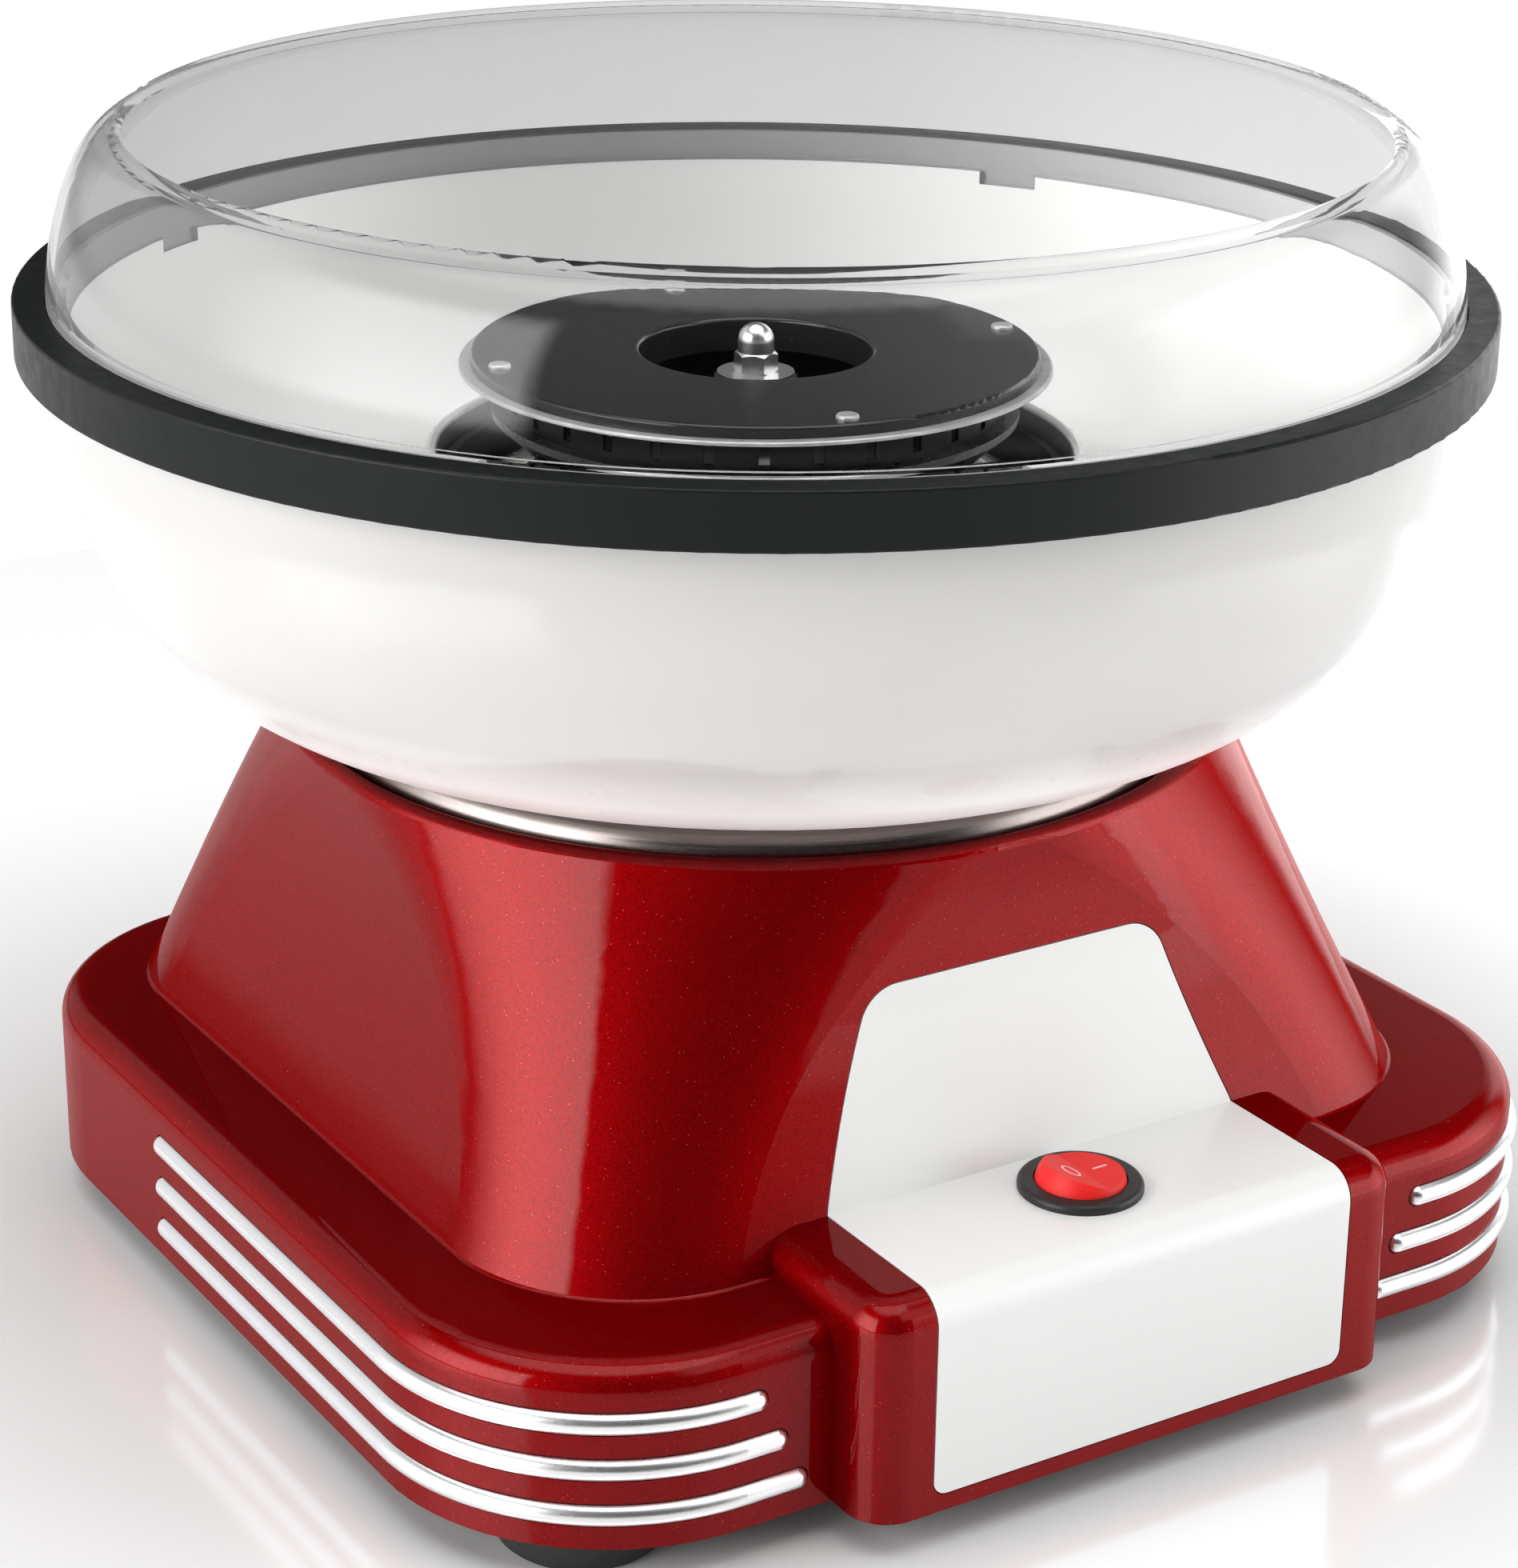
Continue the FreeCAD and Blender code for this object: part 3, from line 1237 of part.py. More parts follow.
def extractor_lip():
    inner = SCREEN_RADIUS - SCREEN_THICKNESS - 3
    lip = turned(
        (inner, LIP_Z),
        (LIP_RADIUS - SHEET, LIP_Z),
        (LIP_RADIUS - SHEET, LIP_Z - LIP_CURL + SHEET),
        (LIP_RADIUS, LIP_Z - LIP_CURL + SHEET),
        (LIP_RADIUS, LIP_Z + SHEET * 0.5),
        ("arc", (LIP_RADIUS - SHEET * 0.15, LIP_Z + SHEET * 0.85), (LIP_RADIUS - SHEET / 2, LIP_Z + SHEET)),
        (inner, LIP_Z + SHEET),
    )
    return lip.cut([cylinder(RIVET_RADIUS, LIP_Z - 1, LID_LOW_Z + 1, s.x, s.y) for s in rivet_spots()])


def extractor_lid():
    r = LID_RADIUS
    hole = LID_HOLE_RADIUS
    slack = LID_EDGE * CORNER_SHARE
    lid = turned(
        (hole + LID_WELL_WALL, LID_LOW_Z),
        (r, LID_LOW_Z),
        (r, LID_TOP_Z - LID_EDGE),
        ("arc", (r - slack, LID_TOP_Z - slack), (r - LID_EDGE, LID_TOP_Z)),
        (hole + LID_EDGE, LID_TOP_Z),
        ("arc", (hole + slack, LID_TOP_Z - slack), (hole, LID_TOP_Z - LID_EDGE)),
        (hole, LID_TOP_Z - LID_WELL_DEPTH),
        (hole + LID_WELL_WALL, LID_TOP_Z - LID_WELL_DEPTH),
    )
    return lid.cut([cylinder(RIVET_RADIUS, LID_LOW_Z - 1, LID_TOP_Z + 1, s.x, s.y) for s in rivet_spots()])


def lid_rivets():
    rivets = []
    for spot in rivet_spots():
        shank = cylinder(RIVET_RADIUS, LIP_Z, LID_TOP_Z, spot.x, spot.y)
        head = cylinder(RIVET_HEAD_RADIUS, LID_TOP_Z, LID_TOP_Z + RIVET_HEAD_HEIGHT, spot.x, spot.y)
        rim = [e for e in head.Edges if e.BoundBox.ZMin > LID_TOP_Z + RIVET_HEAD_HEIGHT - 0.01]
        head = head.makeFillet(RIVET_HEAD_HEIGHT * 0.7, rim)
        tail = cylinder(RIVET_HEAD_RADIUS, LIP_Z - RIVET_HEAD_HEIGHT, LIP_Z, spot.x, spot.y)
        rivets.append(fuse_all([shank, head, tail]))
    return rivets


def hub_washer():
    bore = SHAFT_THREAD_RADIUS + SHAFT_CLEARANCE
    return tube(WASHER_RADIUS, bore, DRUM_HUB_TOP_Z, WASHER_TOP_Z)


def acorn_nut():
    low = WASHER_TOP_Z
    corner = NUT_ACROSS_FLATS / math.sqrt(3)
    points = [polar(corner, 60 * i + 20, low) for i in range(7)]
    hexagon = extruded(Part.makePolygon(points), UP * NUT_HEX_HEIGHT)
    chamfer = turned(
        (0, low),
        (corner - NUT_LOW_CHAMFER_WIDTH, low),
        (corner, low + NUT_LOW_CHAMFER_HEIGHT),
        (corner, low + NUT_HEX_HEIGHT - NUT_TOP_CHAMFER_HEIGHT),
        (corner - NUT_TOP_CHAMFER_WIDTH, low + NUT_HEX_HEIGHT),
        (0, low + NUT_HEX_HEIGHT),
    )
    dome_base = low + NUT_HEIGHT - NUT_DOME_RADIUS
    dome = turned(
        (0, low + 1),
        (NUT_DOME_RADIUS, low + 1),
        (NUT_DOME_RADIUS, dome_base),
        (
            "arc",
            (NUT_DOME_RADIUS * math.sqrt(0.5), dome_base + NUT_DOME_RADIUS * math.sqrt(0.5)),
            (0, low + NUT_HEIGHT),
        ),
    )
    thread = cylinder(SHAFT_THREAD_RADIUS, low - 1, low + NUT_HEX_HEIGHT + NUT_THREAD_SPARE)
    return hexagon.common(chamfer).fuse(dome).cut(thread)


# ---------------------------------------------------------------- bowl, ring and guard
def notch(grow, z_low, z_high, degrees):
    """Block on the step inside the bowl's rim, where a lug of the guard drops in."""
    half = NOTCH_WIDTH / 2 + grow
    inner = RIM_REBATE_RADIUS - BOWL_WALL - grow
    piece = block(inner, RIM_REBATE_RADIUS + grow, -half, half, z_low, z_high)
    piece = piece.common(cylinder(RIM_REBATE_RADIUS + grow, z_low, z_high))
    piece = piece.cut(cylinder(inner, z_low - 1, z_high + 1))
    piece.rotate(V(0, 0, 0), UP, degrees)
    return piece


def notch_angles():
    return [NOTCH_FIRST_DEG + i * 360 / NOTCH_COUNT for i in range(NOTCH_COUNT)]


def floss_bowl():
    """White catching bowl with a coned centre collar and a stepped rim."""
    w = BOWL_WALL
    floor = BOWL_FLOOR_Z
    inner_r = BOWL_RADIUS - w
    rim_low = RIM_FLANGE_Z
    collar_low = COLLAR_FOOT_RADIUS
    collar_in = COLLAR_TOP_RADIUS
    outward = V(1, 0, 0) * BOWL_PULL_OUT
    bowl = turned(
        (collar_low, floor),
        (BOWL_FLAT_RADIUS + 3, floor),
        (
            "bezier",
            (BOWL_FLAT_RADIUS + outward.x, floor),
            (BOWL_RADIUS, BOWL_RIM_Z - BOWL_PULL_DOWN),
            (BOWL_RADIUS, BOWL_RIM_Z),
        ),
        (RIM_RADIUS, BOWL_RIM_Z + RIM_STEP_OUT),
        (RIM_RADIUS, rim_low),
        (RIM_FLANGE_RADIUS, rim_low),
        (RIM_FLANGE_RADIUS, rim_low + RIM_FLANGE_THICKNESS),
        (RIM_RADIUS, rim_low + RIM_FLANGE_THICKNESS),
        (RIM_RADIUS, RIM_TOP_Z),
        (RIM_REBATE_RADIUS, RIM_TOP_Z),
        (RIM_REBATE_RADIUS, RIM_STEP_Z),
        (inner_r, RIM_STEP_Z),
        (inner_r, BOWL_RIM_Z),
        (
            "bezier",
            (inner_r, BOWL_RIM_Z - BOWL_PULL_DOWN),
            (BOWL_FLAT_RADIUS + outward.x, floor + w),
            (collar_low + w + COLLAR_ROUND + 2, floor + w),
        ),
        (
            "bezier",
            (collar_low + w + COLLAR_ROUND * 0.4, floor + w),
            (collar_low + w, floor + w + COLLAR_ROUND * 0.4),
            (collar_low + w - COLLAR_ROUND * 0.23, floor + w + COLLAR_ROUND),
        ),
        (collar_in + w, COLLAR_TOP_Z - 1),
        ("arc", (collar_in + w / 2, COLLAR_TOP_Z + 0.2), (collar_in, COLLAR_TOP_Z - 1)),
    )
    cuts = [notch(0.0, RIM_STEP_Z - NOTCH_DEPTH, RIM_STEP_Z + 1, a) for a in notch_angles()]
    return bowl.cut(cuts)


def bowl_ring():
    gap = RING_INNER_RADIUS - RIM_RADIUS
    e = RING_EDGE
    r = RING_RADIUS
    flange_top = RIM_FLANGE_Z + RIM_FLANGE_THICKNESS
    return turned(
        (RING_INNER_RADIUS, RING_LOW_Z),
        (r - e, RING_LOW_Z),
        ("arc", (r - e * CORNER_SHARE, RING_LOW_Z + e * CORNER_SHARE), (r, RING_LOW_Z + e)),
        (r, RING_TOP_Z - e),
        ("arc", (r - e * CORNER_SHARE, RING_TOP_Z - e * CORNER_SHARE), (r - e, RING_TOP_Z)),
        (RING_INNER_RADIUS, RING_TOP_Z),
        (RING_INNER_RADIUS, flange_top),
        (RIM_FLANGE_RADIUS + gap, flange_top),
        (RIM_FLANGE_RADIUS + gap, RIM_FLANGE_Z),
        (RING_INNER_RADIUS, RIM_FLANGE_Z),
    )


def splash_guard():
    """Clear domed guard with a skirt inside the bowl's rim and a beaded mouth."""
    w = GUARD_WALL
    foot_z = RIM_TOP_Z + SEAT_GAP
    skirt_out = RIM_REBATE_RADIUS - SEAT_GAP
    skirt_low = RIM_STEP_Z + SEAT_GAP
    skirt_in = skirt_out - w
    top = GUARD_TOP_Z
    mouth = GUARD_MOUTH_RADIUS
    b = GUARD_BEAD
    shoulder = top - 1.0
    guard = turned(
        (skirt_out, skirt_low),
        (skirt_out, foot_z),
        (RIM_RADIUS, foot_z),
        (
            "bezier",
            (RIM_RADIUS, foot_z + GUARD_PULL_UP),
            (mouth + GUARD_PULL_OUT, shoulder - GUARD_SHOULDER_DROP),
            (mouth, shoulder - b * 0.4),
        ),
        ("arc", (mouth - b, top), (mouth - 2 * b, shoulder - b * 0.4)),
        ("arc", (mouth - 1.4 * b, shoulder - w), (mouth - 0.2 * b, shoulder - w - 0.3)),
        (
            "bezier",
            (mouth + GUARD_PULL_OUT - w, shoulder - GUARD_SHOULDER_DROP - w),
            (RIM_RADIUS - w, foot_z + GUARD_PULL_UP),
            (RIM_RADIUS - w, foot_z + 1),
        ),
        (skirt_in, foot_z),
        (skirt_in, skirt_low),
    )
    lug_low = RIM_STEP_Z - NOTCH_DEPTH + SEAT_GAP
    lugs = []
    for degrees in notch_angles():
        lug = notch(-SEAT_GAP, lug_low, skirt_low + 1, degrees)
        lugs.append(lug.cut(cylinder(skirt_in, lug_low - 1, skirt_low + 2)))
    return guard.multiFuse(lugs)


# ---------------------------------------------------------------- the machine
def all_nodes():
    nodes = {
        "housing": housing(),
        "front_panel": front_panel(),
        "base_plate": base_plate(),
        "foot_screws": foot_screws(),
        "base_screws": base_screws(),
        "switch_body": switch_body(),
        "rocker": rocker(),
        "switch_terminals": switch_terminals(),
        "cord_inlet": cord_inlet(),
        "steel_dish": steel_dish(),
        "dish_screws": dish_screws(),
        "heater_pan": heater_pan(),
        "heating_element": heating_element(),
        "element_clips": element_clips(),
        "clip_screws": clip_screws(),
        "motor_plate": motor_plate(),
        "motor_case": motor_case(),
        "motor_end_cap": motor_end_cap(),
        "upper_bearing": bearing(MOTOR_TOP_Z + MOTOR_BOSS_RISE - BEARING_LENGTH),
        "lower_bearing": bearing(MOTOR_LOW_Z - MOTOR_CAP_HEIGHT + BEARING_SEAT_DEPTH),
        "motor_magnets": motor_magnets(),
        "motor_brushes": motor_brushes(),
        "motor_screws": motor_screws(),
        "motor_shaft": motor_shaft(),
        "rotor": rotor(),
        "commutator": commutator(),
        "extractor_drum": extractor_drum(),
        "extractor_screen": extractor_screen(),
        "extractor_lip": extractor_lip(),
        "extractor_lid": extractor_lid(),
        "lid_rivets": lid_rivets(),
        "hub_washer": hub_washer(),
        "acorn_nut": acorn_nut(),
        "floss_bowl": floss_bowl(),
        "bowl_ring": bowl_ring(),
        "splash_guard": splash_guard(),
    }
    for name, (x, y) in foot_places().items():
        nodes[name] = foot(x, y)
    nodes.update(trim_strips())
    return nodes


def main():
    os.makedirs("parts", exist_ok=True)
    for name, shape in all_nodes().items():
        if isinstance(shape, list):
            shape = Part.makeCompound(shape)
        shape.exportStep(os.path.join("parts", name + ".step"))
        box = shape.BoundBox
        print(name, len(shape.Solids), shape.isValid(), "%.1f" % shape.Volume)
        print("   x %.1f %.1f y %.1f %.1f z %.1f %.1f" % (
            box.XMin, box.XMax, box.YMin, box.YMax, box.ZMin, box.ZMax))


main()
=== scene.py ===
import json
import math

import bmesh
import bpy
from mathutils import Matrix, Vector


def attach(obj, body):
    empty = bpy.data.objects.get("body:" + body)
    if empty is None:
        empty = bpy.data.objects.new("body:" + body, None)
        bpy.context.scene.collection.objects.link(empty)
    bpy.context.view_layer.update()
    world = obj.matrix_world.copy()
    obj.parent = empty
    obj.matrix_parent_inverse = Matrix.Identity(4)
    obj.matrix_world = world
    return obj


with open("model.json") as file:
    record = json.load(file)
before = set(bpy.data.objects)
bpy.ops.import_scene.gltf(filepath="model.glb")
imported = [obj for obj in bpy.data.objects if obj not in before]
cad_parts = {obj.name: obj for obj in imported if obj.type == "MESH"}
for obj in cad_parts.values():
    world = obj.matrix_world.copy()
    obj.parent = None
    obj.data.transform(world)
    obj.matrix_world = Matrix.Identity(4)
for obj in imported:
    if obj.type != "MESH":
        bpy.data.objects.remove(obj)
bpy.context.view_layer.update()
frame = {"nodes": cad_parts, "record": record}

# Looks for the cotton candy machine: materials for every node, the marks on the rocker,
# floor, light and camera. Metres, +Z up, front towards -Y, the spin axis on X = Y = 0.

MM = 0.001

# ---------------------------------------------------------------- camera
PHOTO_HEIGHT_PX = 1960
FOCAL_PX = 4837.65
SENSOR = 36.0
AZIMUTH_DEG = -32.22
ELEVATION_DEG = 21.5
ROLL_DEG = 0.70
DISTANCE = 0.83166
SIDE_SHIFT = 0.00172
TARGET_Z = 0.09588
NEAREST = 0.01


def camera_matrix():
    """Place and turn of a camera that looks at the machine from the photograph's angle."""
    azimuth = math.radians(AZIMUTH_DEG)
    elevation = math.radians(ELEVATION_DEG)
    roll = math.radians(ROLL_DEG)
    flat = math.cos(elevation)
    back = Vector((math.sin(azimuth) * flat, -math.cos(azimuth) * flat, math.sin(elevation)))
    right = Vector((math.cos(azimuth), math.sin(azimuth), 0))
    up = back.cross(right)
    across = right * math.cos(roll) + up * math.sin(roll)
    upright = up * math.cos(roll) - right * math.sin(roll)
    place = back * DISTANCE + right * SIDE_SHIFT + Vector((0, 0, TARGET_Z))
    return Matrix(
        (
            (across.x, upright.x, back.x, place.x),
            (across.y, upright.y, back.y, place.y),
            (across.z, upright.z, back.z, place.z),
            (0, 0, 0, 1),
        )
    )


def make_camera():
    """Camera with the photograph's lens."""
    data = bpy.data.cameras.new("camera")
    data.sensor_width = SENSOR
    data.lens = FOCAL_PX * SENSOR / PHOTO_HEIGHT_PX
    data.clip_start = NEAREST
    camera = bpy.data.objects.new("camera", data)
    bpy.context.scene.collection.objects.link(camera)
    camera.matrix_world = camera_matrix()
    bpy.context.scene.camera = camera


# ---------------------------------------------------------------- node helpers
class Nodes:
    """A node tree with short calls for adding nodes and joining them."""

    def __init__(self, owner):
        owner.use_nodes = True
        self.nodes = owner.node_tree.nodes
        self.links = owner.node_tree.links

    def add(self, kind, **settings):
        node = self.nodes.new("ShaderNode" + kind)
        for key, value in settings.items():
            setattr(node, key, value)
        return node

    def math(self, operation, *values):
        """Result of a Math node whose inputs are numbers or other nodes' outputs."""
        node = self.add("Math", operation=operation)
        for socket, value in zip(node.inputs, values):
            if isinstance(value, (int, float)):
                socket.default_value = value
            else:
                self.links.new(value, socket)
        return node.outputs[0]

    def parts(self, vector):
        """The three parts of a vector or a colour."""
        node = self.add("SeparateXYZ")
        self.links.new(vector, node.inputs[0])
        return node.outputs


# Most of a noise's values lie between these two.
NOISE_LOW = 0.3
NOISE_HIGH = 0.7


class Graph(Nodes):
    """A material's nodes round one Principled shader."""

    def __init__(self, name, **constants):
        self.material = bpy.data.materials.new(name)
        super().__init__(self.material)
        self.shader = self.nodes["Principled BSDF"]
        for socket, value in constants.items():
            self.shader.inputs[socket.replace("_", " ")].default_value = value

    def place(self):
        """Object coordinates, which are the machine's own frame in metres."""
        return self.add("TexCoord").outputs["Object"]

    def stretched(self, scale, source=None):
        mapping = self.add("Mapping")
        mapping.inputs["Scale"].default_value = scale
        self.links.new(source or self.place(), mapping.inputs["Vector"])
        return mapping.outputs["Vector"]

    def turned(self):
        """Cylindrical coordinates about the spin axis: angle, radius and height."""
        x, y, z = self.parts(self.place())
        square_x = self.math("MULTIPLY", x, x)
        square_y = self.math("MULTIPLY", y, y)
        radius = self.math("SQRT", self.math("ADD", square_x, square_y))
        joined = self.add("CombineXYZ")
        for value, socket in zip((self.math("ARCTAN2", y, x), radius, z), joined.inputs):
            self.links.new(value, socket)
        return joined.outputs[0]

    def noise(self, scale, detail, rough=0.5, source=None):
        node = self.add("TexNoise")
        node.inputs["Scale"].default_value = scale
        node.inputs["Detail"].default_value = detail
        node.inputs["Roughness"].default_value = rough
        self.links.new(source or self.place(), node.inputs["Vector"])
        return node.outputs["Fac"]

    def cells(self, scale):
        node = self.add("TexVoronoi")
        node.inputs["Scale"].default_value = scale
        self.links.new(self.place(), node.inputs["Vector"])
        return node.outputs

    def glints(self, scale, size, spared):
        """1 in small dots about the middle of a few cells, and 0 elsewhere."""
        cells = self.cells(scale)
        chosen = self.math("GREATER_THAN", self.parts(cells["Color"])["X"], spared)
        near = self.math("LESS_THAN", cells["Distance"], size)
        return self.math("MULTIPLY", chosen, near)

    def span(self, value, low, high, out_low, out_high):
        """Carries a value from the range low to high over to the range out_low to out_high."""
        node = self.add("MapRange")
        for socket, number in zip(node.inputs[1:5], (low, high, out_low, out_high)):
            socket.default_value = number
        self.links.new(value, node.inputs[0])
        return node.outputs[0]

    def varied(self, noise, low, high):
        """A number that drifts from low to high with a noise."""
        return self.span(noise, NOISE_LOW, NOISE_HIGH, low, high)

    def mix(self, factor):
        node = self.add("Mix", data_type="RGBA")
        self.links.new(factor, node.inputs["Factor"])
        return node, next(o for o in node.outputs if o.type == "RGBA")

    def blend(self, factor, first, second):
        """Blend of two plain colours."""
        node, result = self.mix(factor)
        node.inputs["A"].default_value = (*first, 1)
        node.inputs["B"].default_value = (*second, 1)
        return result

    def over(self, under, factor, colour):
        """A plain colour laid over a colour that comes from another node."""
        node, result = self.mix(factor)
        node.inputs["B"].default_value = (*colour, 1)
        self.links.new(under, next(i for i in node.inputs if i.name == "A" and i.type == "RGBA"))
        return result

    def bump(self, height, strength, depth, before=None):
        """Normal bent by a height, on top of an earlier bump where there is one."""
        node = self.add("Bump")
        node.inputs["Strength"].default_value = strength
        node.inputs["Distance"].default_value = depth
        self.links.new(height, node.inputs["Height"])
        if before:
            self.links.new(before, node.inputs["Normal"])
        return node.outputs["Normal"]

    def set(self, socket, value):
        self.links.new(value, self.shader.inputs[socket])


# ---------------------------------------------------------------- painted and moulded materials
def red_metallic():
    """Candy red lacquer: fine metal flake with a few brighter glints, under a clear coat."""
    g = Graph(
        "red_metallic",
        Metallic=1.0,
        Specular_Tint=(1.0, 0.02, 0.03, 1),
        Coat_Weight=0.32,
        Coat_Roughness=0.03,
        Coat_IOR=1.5,
    )
    flake = g.span(g.cells(scale=2600)["Distance"], 0.0, 0.75, 1.0, 0.0)
    cloud = g.varied(g.noise(scale=9, detail=2), 0.85, 1.0)
    tone = g.math("MULTIPLY", flake, cloud)
    paint = g.blend(tone, (0.18, 0.0006, 0.001), (0.31, 0.0013, 0.0036))
    glints = g.glints(scale=1500, size=0.14, spared=0.9)
    g.set("Base Color", g.over(paint, glints, (0.6, 0.1, 0.12)))
    g.set("Roughness", g.varied(g.noise(scale=1800, detail=2), 0.52, 0.6))
    g.set("Normal", g.bump(g.noise(scale=2400, detail=2), strength=0.12, depth=0.0001))
    g.set("Coat Normal", g.bump(g.noise(scale=42, detail=2), strength=0.03, depth=0.0006))
    return g.material


def panel_white():
    """Satin white plastic with a very fine moulded grain on faint waves."""
    g = Graph("panel_white", Specular_IOR_Level=0.5, Coat_Weight=0.25, Coat_Roughness=0.12)
    cloud = g.noise(scale=14, detail=3)
    g.set("Base Color", g.blend(cloud, (0.72, 0.725, 0.715), (0.75, 0.755, 0.745)))
    g.set("Roughness", g.varied(g.noise(scale=90, detail=2), 0.3, 0.36))
    grain = g.bump(g.noise(scale=700, detail=2), strength=0.03, depth=0.00005)
    waves = g.noise(scale=60, detail=2)
    g.set("Normal", g.bump(waves, strength=0.03, depth=0.0005, before=grain))
    return g.material


# The normal points out from the frame's origin on the bowl's outside, and not on its inside.
OUTSIDE_FROM = 0.04
INSIDE_FROM = -0.02


def bowl_white():
    """White bowl with the slight waves of a moulded wall, glossy outside and satin inside, with
    painted shade that makes the outside darker than the inside.
    """
    g = Graph("bowl_white", Specular_IOR_Level=0.5, Coat_Roughness=0.03)
    outward = g.add("VectorMath", operation="DOT_PRODUCT")
    g.links.new(g.place(), outward.inputs[0])
    g.links.new(g.add("NewGeometry").outputs["Normal"], outward.inputs[1])
    inside = g.span(outward.outputs["Value"], OUTSIDE_FROM, INSIDE_FROM, 0.0, 1.0)
    # Painted shade: the outside of the wall gets a darker white than the inside, with a random cloud
    # on top.
    painted_shade_and_cloud = g.math("ADD", inside, g.varied(g.noise(scale=6, detail=3), -0.08, 0.08))
    g.set("Base Color", g.blend(painted_shade_and_cloud, (0.57, 0.562, 0.553), (0.93, 0.925, 0.918)))
    g.set("Coat Weight", g.span(inside, 0.0, 1.0, 0.4, 0.06))
    duller = g.span(inside, 0.0, 1.0, 0.0, 0.2)
    g.set("Roughness", g.math("ADD", duller, g.varied(g.noise(scale=120, detail=3), 0.12, 0.2)))
    g.set("Normal", g.bump(g.noise(scale=24, detail=2), strength=0.05, depth=0.001))
    return g.material


GUARD_FOOT_Z = 0.209
GUARD_CLEAR_Z = 0.216
GUARD_SHINE = 0.35
BEAD_Z = 0.2386
BEAD_FADE = 0.0004
BEAD_SHARE = 0.2
# Painted shade on the guard: from this y to the next it turns darker and lets less light through.
PAINTED_SHADE_FROM_Y = -0.06
PAINTED_SHADE_TO_Y = 0.1


def guard_clear():
    """Clear moulded guard with painted shade: darker and less clear towards the rear, darker where
    seen edge-on. A coat gives its shine, less on the bead.
    """
    g = Graph("guard_clear", IOR=1.02, Coat_IOR=1.5)
    _, y, z = g.parts(g.place())
    above_foot = g.span(z, GUARD_FOOT_Z, GUARD_CLEAR_Z, 0.0, GUARD_SHINE)
    below_bead = g.span(z, BEAD_Z, BEAD_Z + BEAD_FADE, 1.0, BEAD_SHARE)
    g.set("Coat Weight", g.math("MULTIPLY", above_foot, below_bead))
    g.set("Roughness", g.span(below_bead, BEAD_SHARE, 1.0, 0.14, 0.02))
    # Painted shade: the colour darkens where the guard is seen edge-on and towards the rear, and
    # less light passes through at the rear.
    painted_edge_shade = g.math("MULTIPLY", g.add("LayerWeight").outputs["Facing"], 0.5)
    painted_rear_shade = g.span(y, PAINTED_SHADE_FROM_Y, PAINTED_SHADE_TO_Y, 0.0, 0.5)
    tint = g.math("ADD", painted_edge_shade, painted_rear_shade)
    g.set("Base Color", g.blend(tint, (0.96, 0.965, 0.965), (0.5, 0.505, 0.505)))
    g.set("Transmission Weight", g.span(y, PAINTED_SHADE_FROM_Y, PAINTED_SHADE_TO_Y, 1.0, 0.88))
    around = g.noise(scale=1.0, detail=4, rough=0.6, source=g.stretched((140, 12, 4), g.turned()))
    marks = g.span(around, 0.62, 0.75, 0.0, 1.0)
    g.set("Coat Roughness", g.span(marks, 0.0, 1.0, 0.02, 0.12))
    return g.material


def lid_enamel():
    """Black stoved enamel with a light orange peel and a few pale scuffs."""
    g = Graph("lid_black", Specular_IOR_Level=0.3, Coat_Weight=0.15, Coat_Roughness=0.08)
    streaks = g.noise(scale=1.0, detail=4, rough=0.65, source=g.stretched((900, 70, 400)))
    scuff = g.span(streaks, 0.70, 0.76, 0.0, 1.0)
    g.set("Base Color", g.blend(scuff, (0.016, 0.016, 0.017), (0.11, 0.11, 0.11)))
    g.set("Roughness", g.varied(g.noise(scale=160, detail=3), 0.16, 0.27))
    g.set("Normal", g.bump(g.noise(scale=420, detail=2), strength=0.08, depth=0.0003))
    return g.material


def mark_ink():
    """Pale pink printing ink."""
    g = Graph("mark_ink", Specular_IOR_Level=0.4)
    g.set("Base Color", g.blend(g.noise(scale=900, detail=3), (0.78, 0.36, 0.4), (0.88, 0.5, 0.53)))
    g.set("Roughness", g.varied(g.noise(scale=1200, detail=3), 0.4, 0.55))
    return g.material


# Darker colour, lighter colour, roughness, scale of the grain, its depth in metres, specular level.
PLASTICS = {
    "base_black": ((0.012, 0.012, 0.013), (0.02, 0.02, 0.021), 0.55, 1400, 0.0002, 0.5),
    "switch_black": ((0.014, 0.013, 0.013), (0.02, 0.018, 0.018), 0.42, 1200, 0.00005, 0.3),
    "inlet_black": ((0.01, 0.01, 0.011), (0.018, 0.018, 0.019), 0.5, 1800, 0.0001, 0.5),
    "rocker_red": ((0.66, 0.011, 0.01), (0.74, 0.016, 0.013), 0.5, 900, 0.00003, 0.3),
    "ring_black": ((0.003, 0.0038, 0.0042), (0.0045, 0.0058, 0.0062), 0.42, 900, 0.00005, 0.2),
    "foot_rubber": ((0.008, 0.008, 0.008), (0.016, 0.016, 0.016), 0.75, 1100, 0.0002, 0.5),
    "extractor_black": ((0.01, 0.01, 0.011), (0.018, 0.018, 0.018), 0.3, 900, 0.0001, 0.5),
}


def plastic(name, dark, light, rough, grain, depth, shine):
    """Moulded plastic or rubber with a grain of its own size."""
    g = Graph(name, Specular_IOR_Level=shine)
    g.set("Base Color", g.blend(g.noise(scale=30, detail=4), dark, light))
    g.set("Roughness", g.varied(g.noise(scale=grain / 3, detail=3), rough - 0.05, rough + 0.05))
    g.set("Normal", g.bump(g.noise(scale=grain, detail=3), strength=0.25, depth=depth))
    return g.material


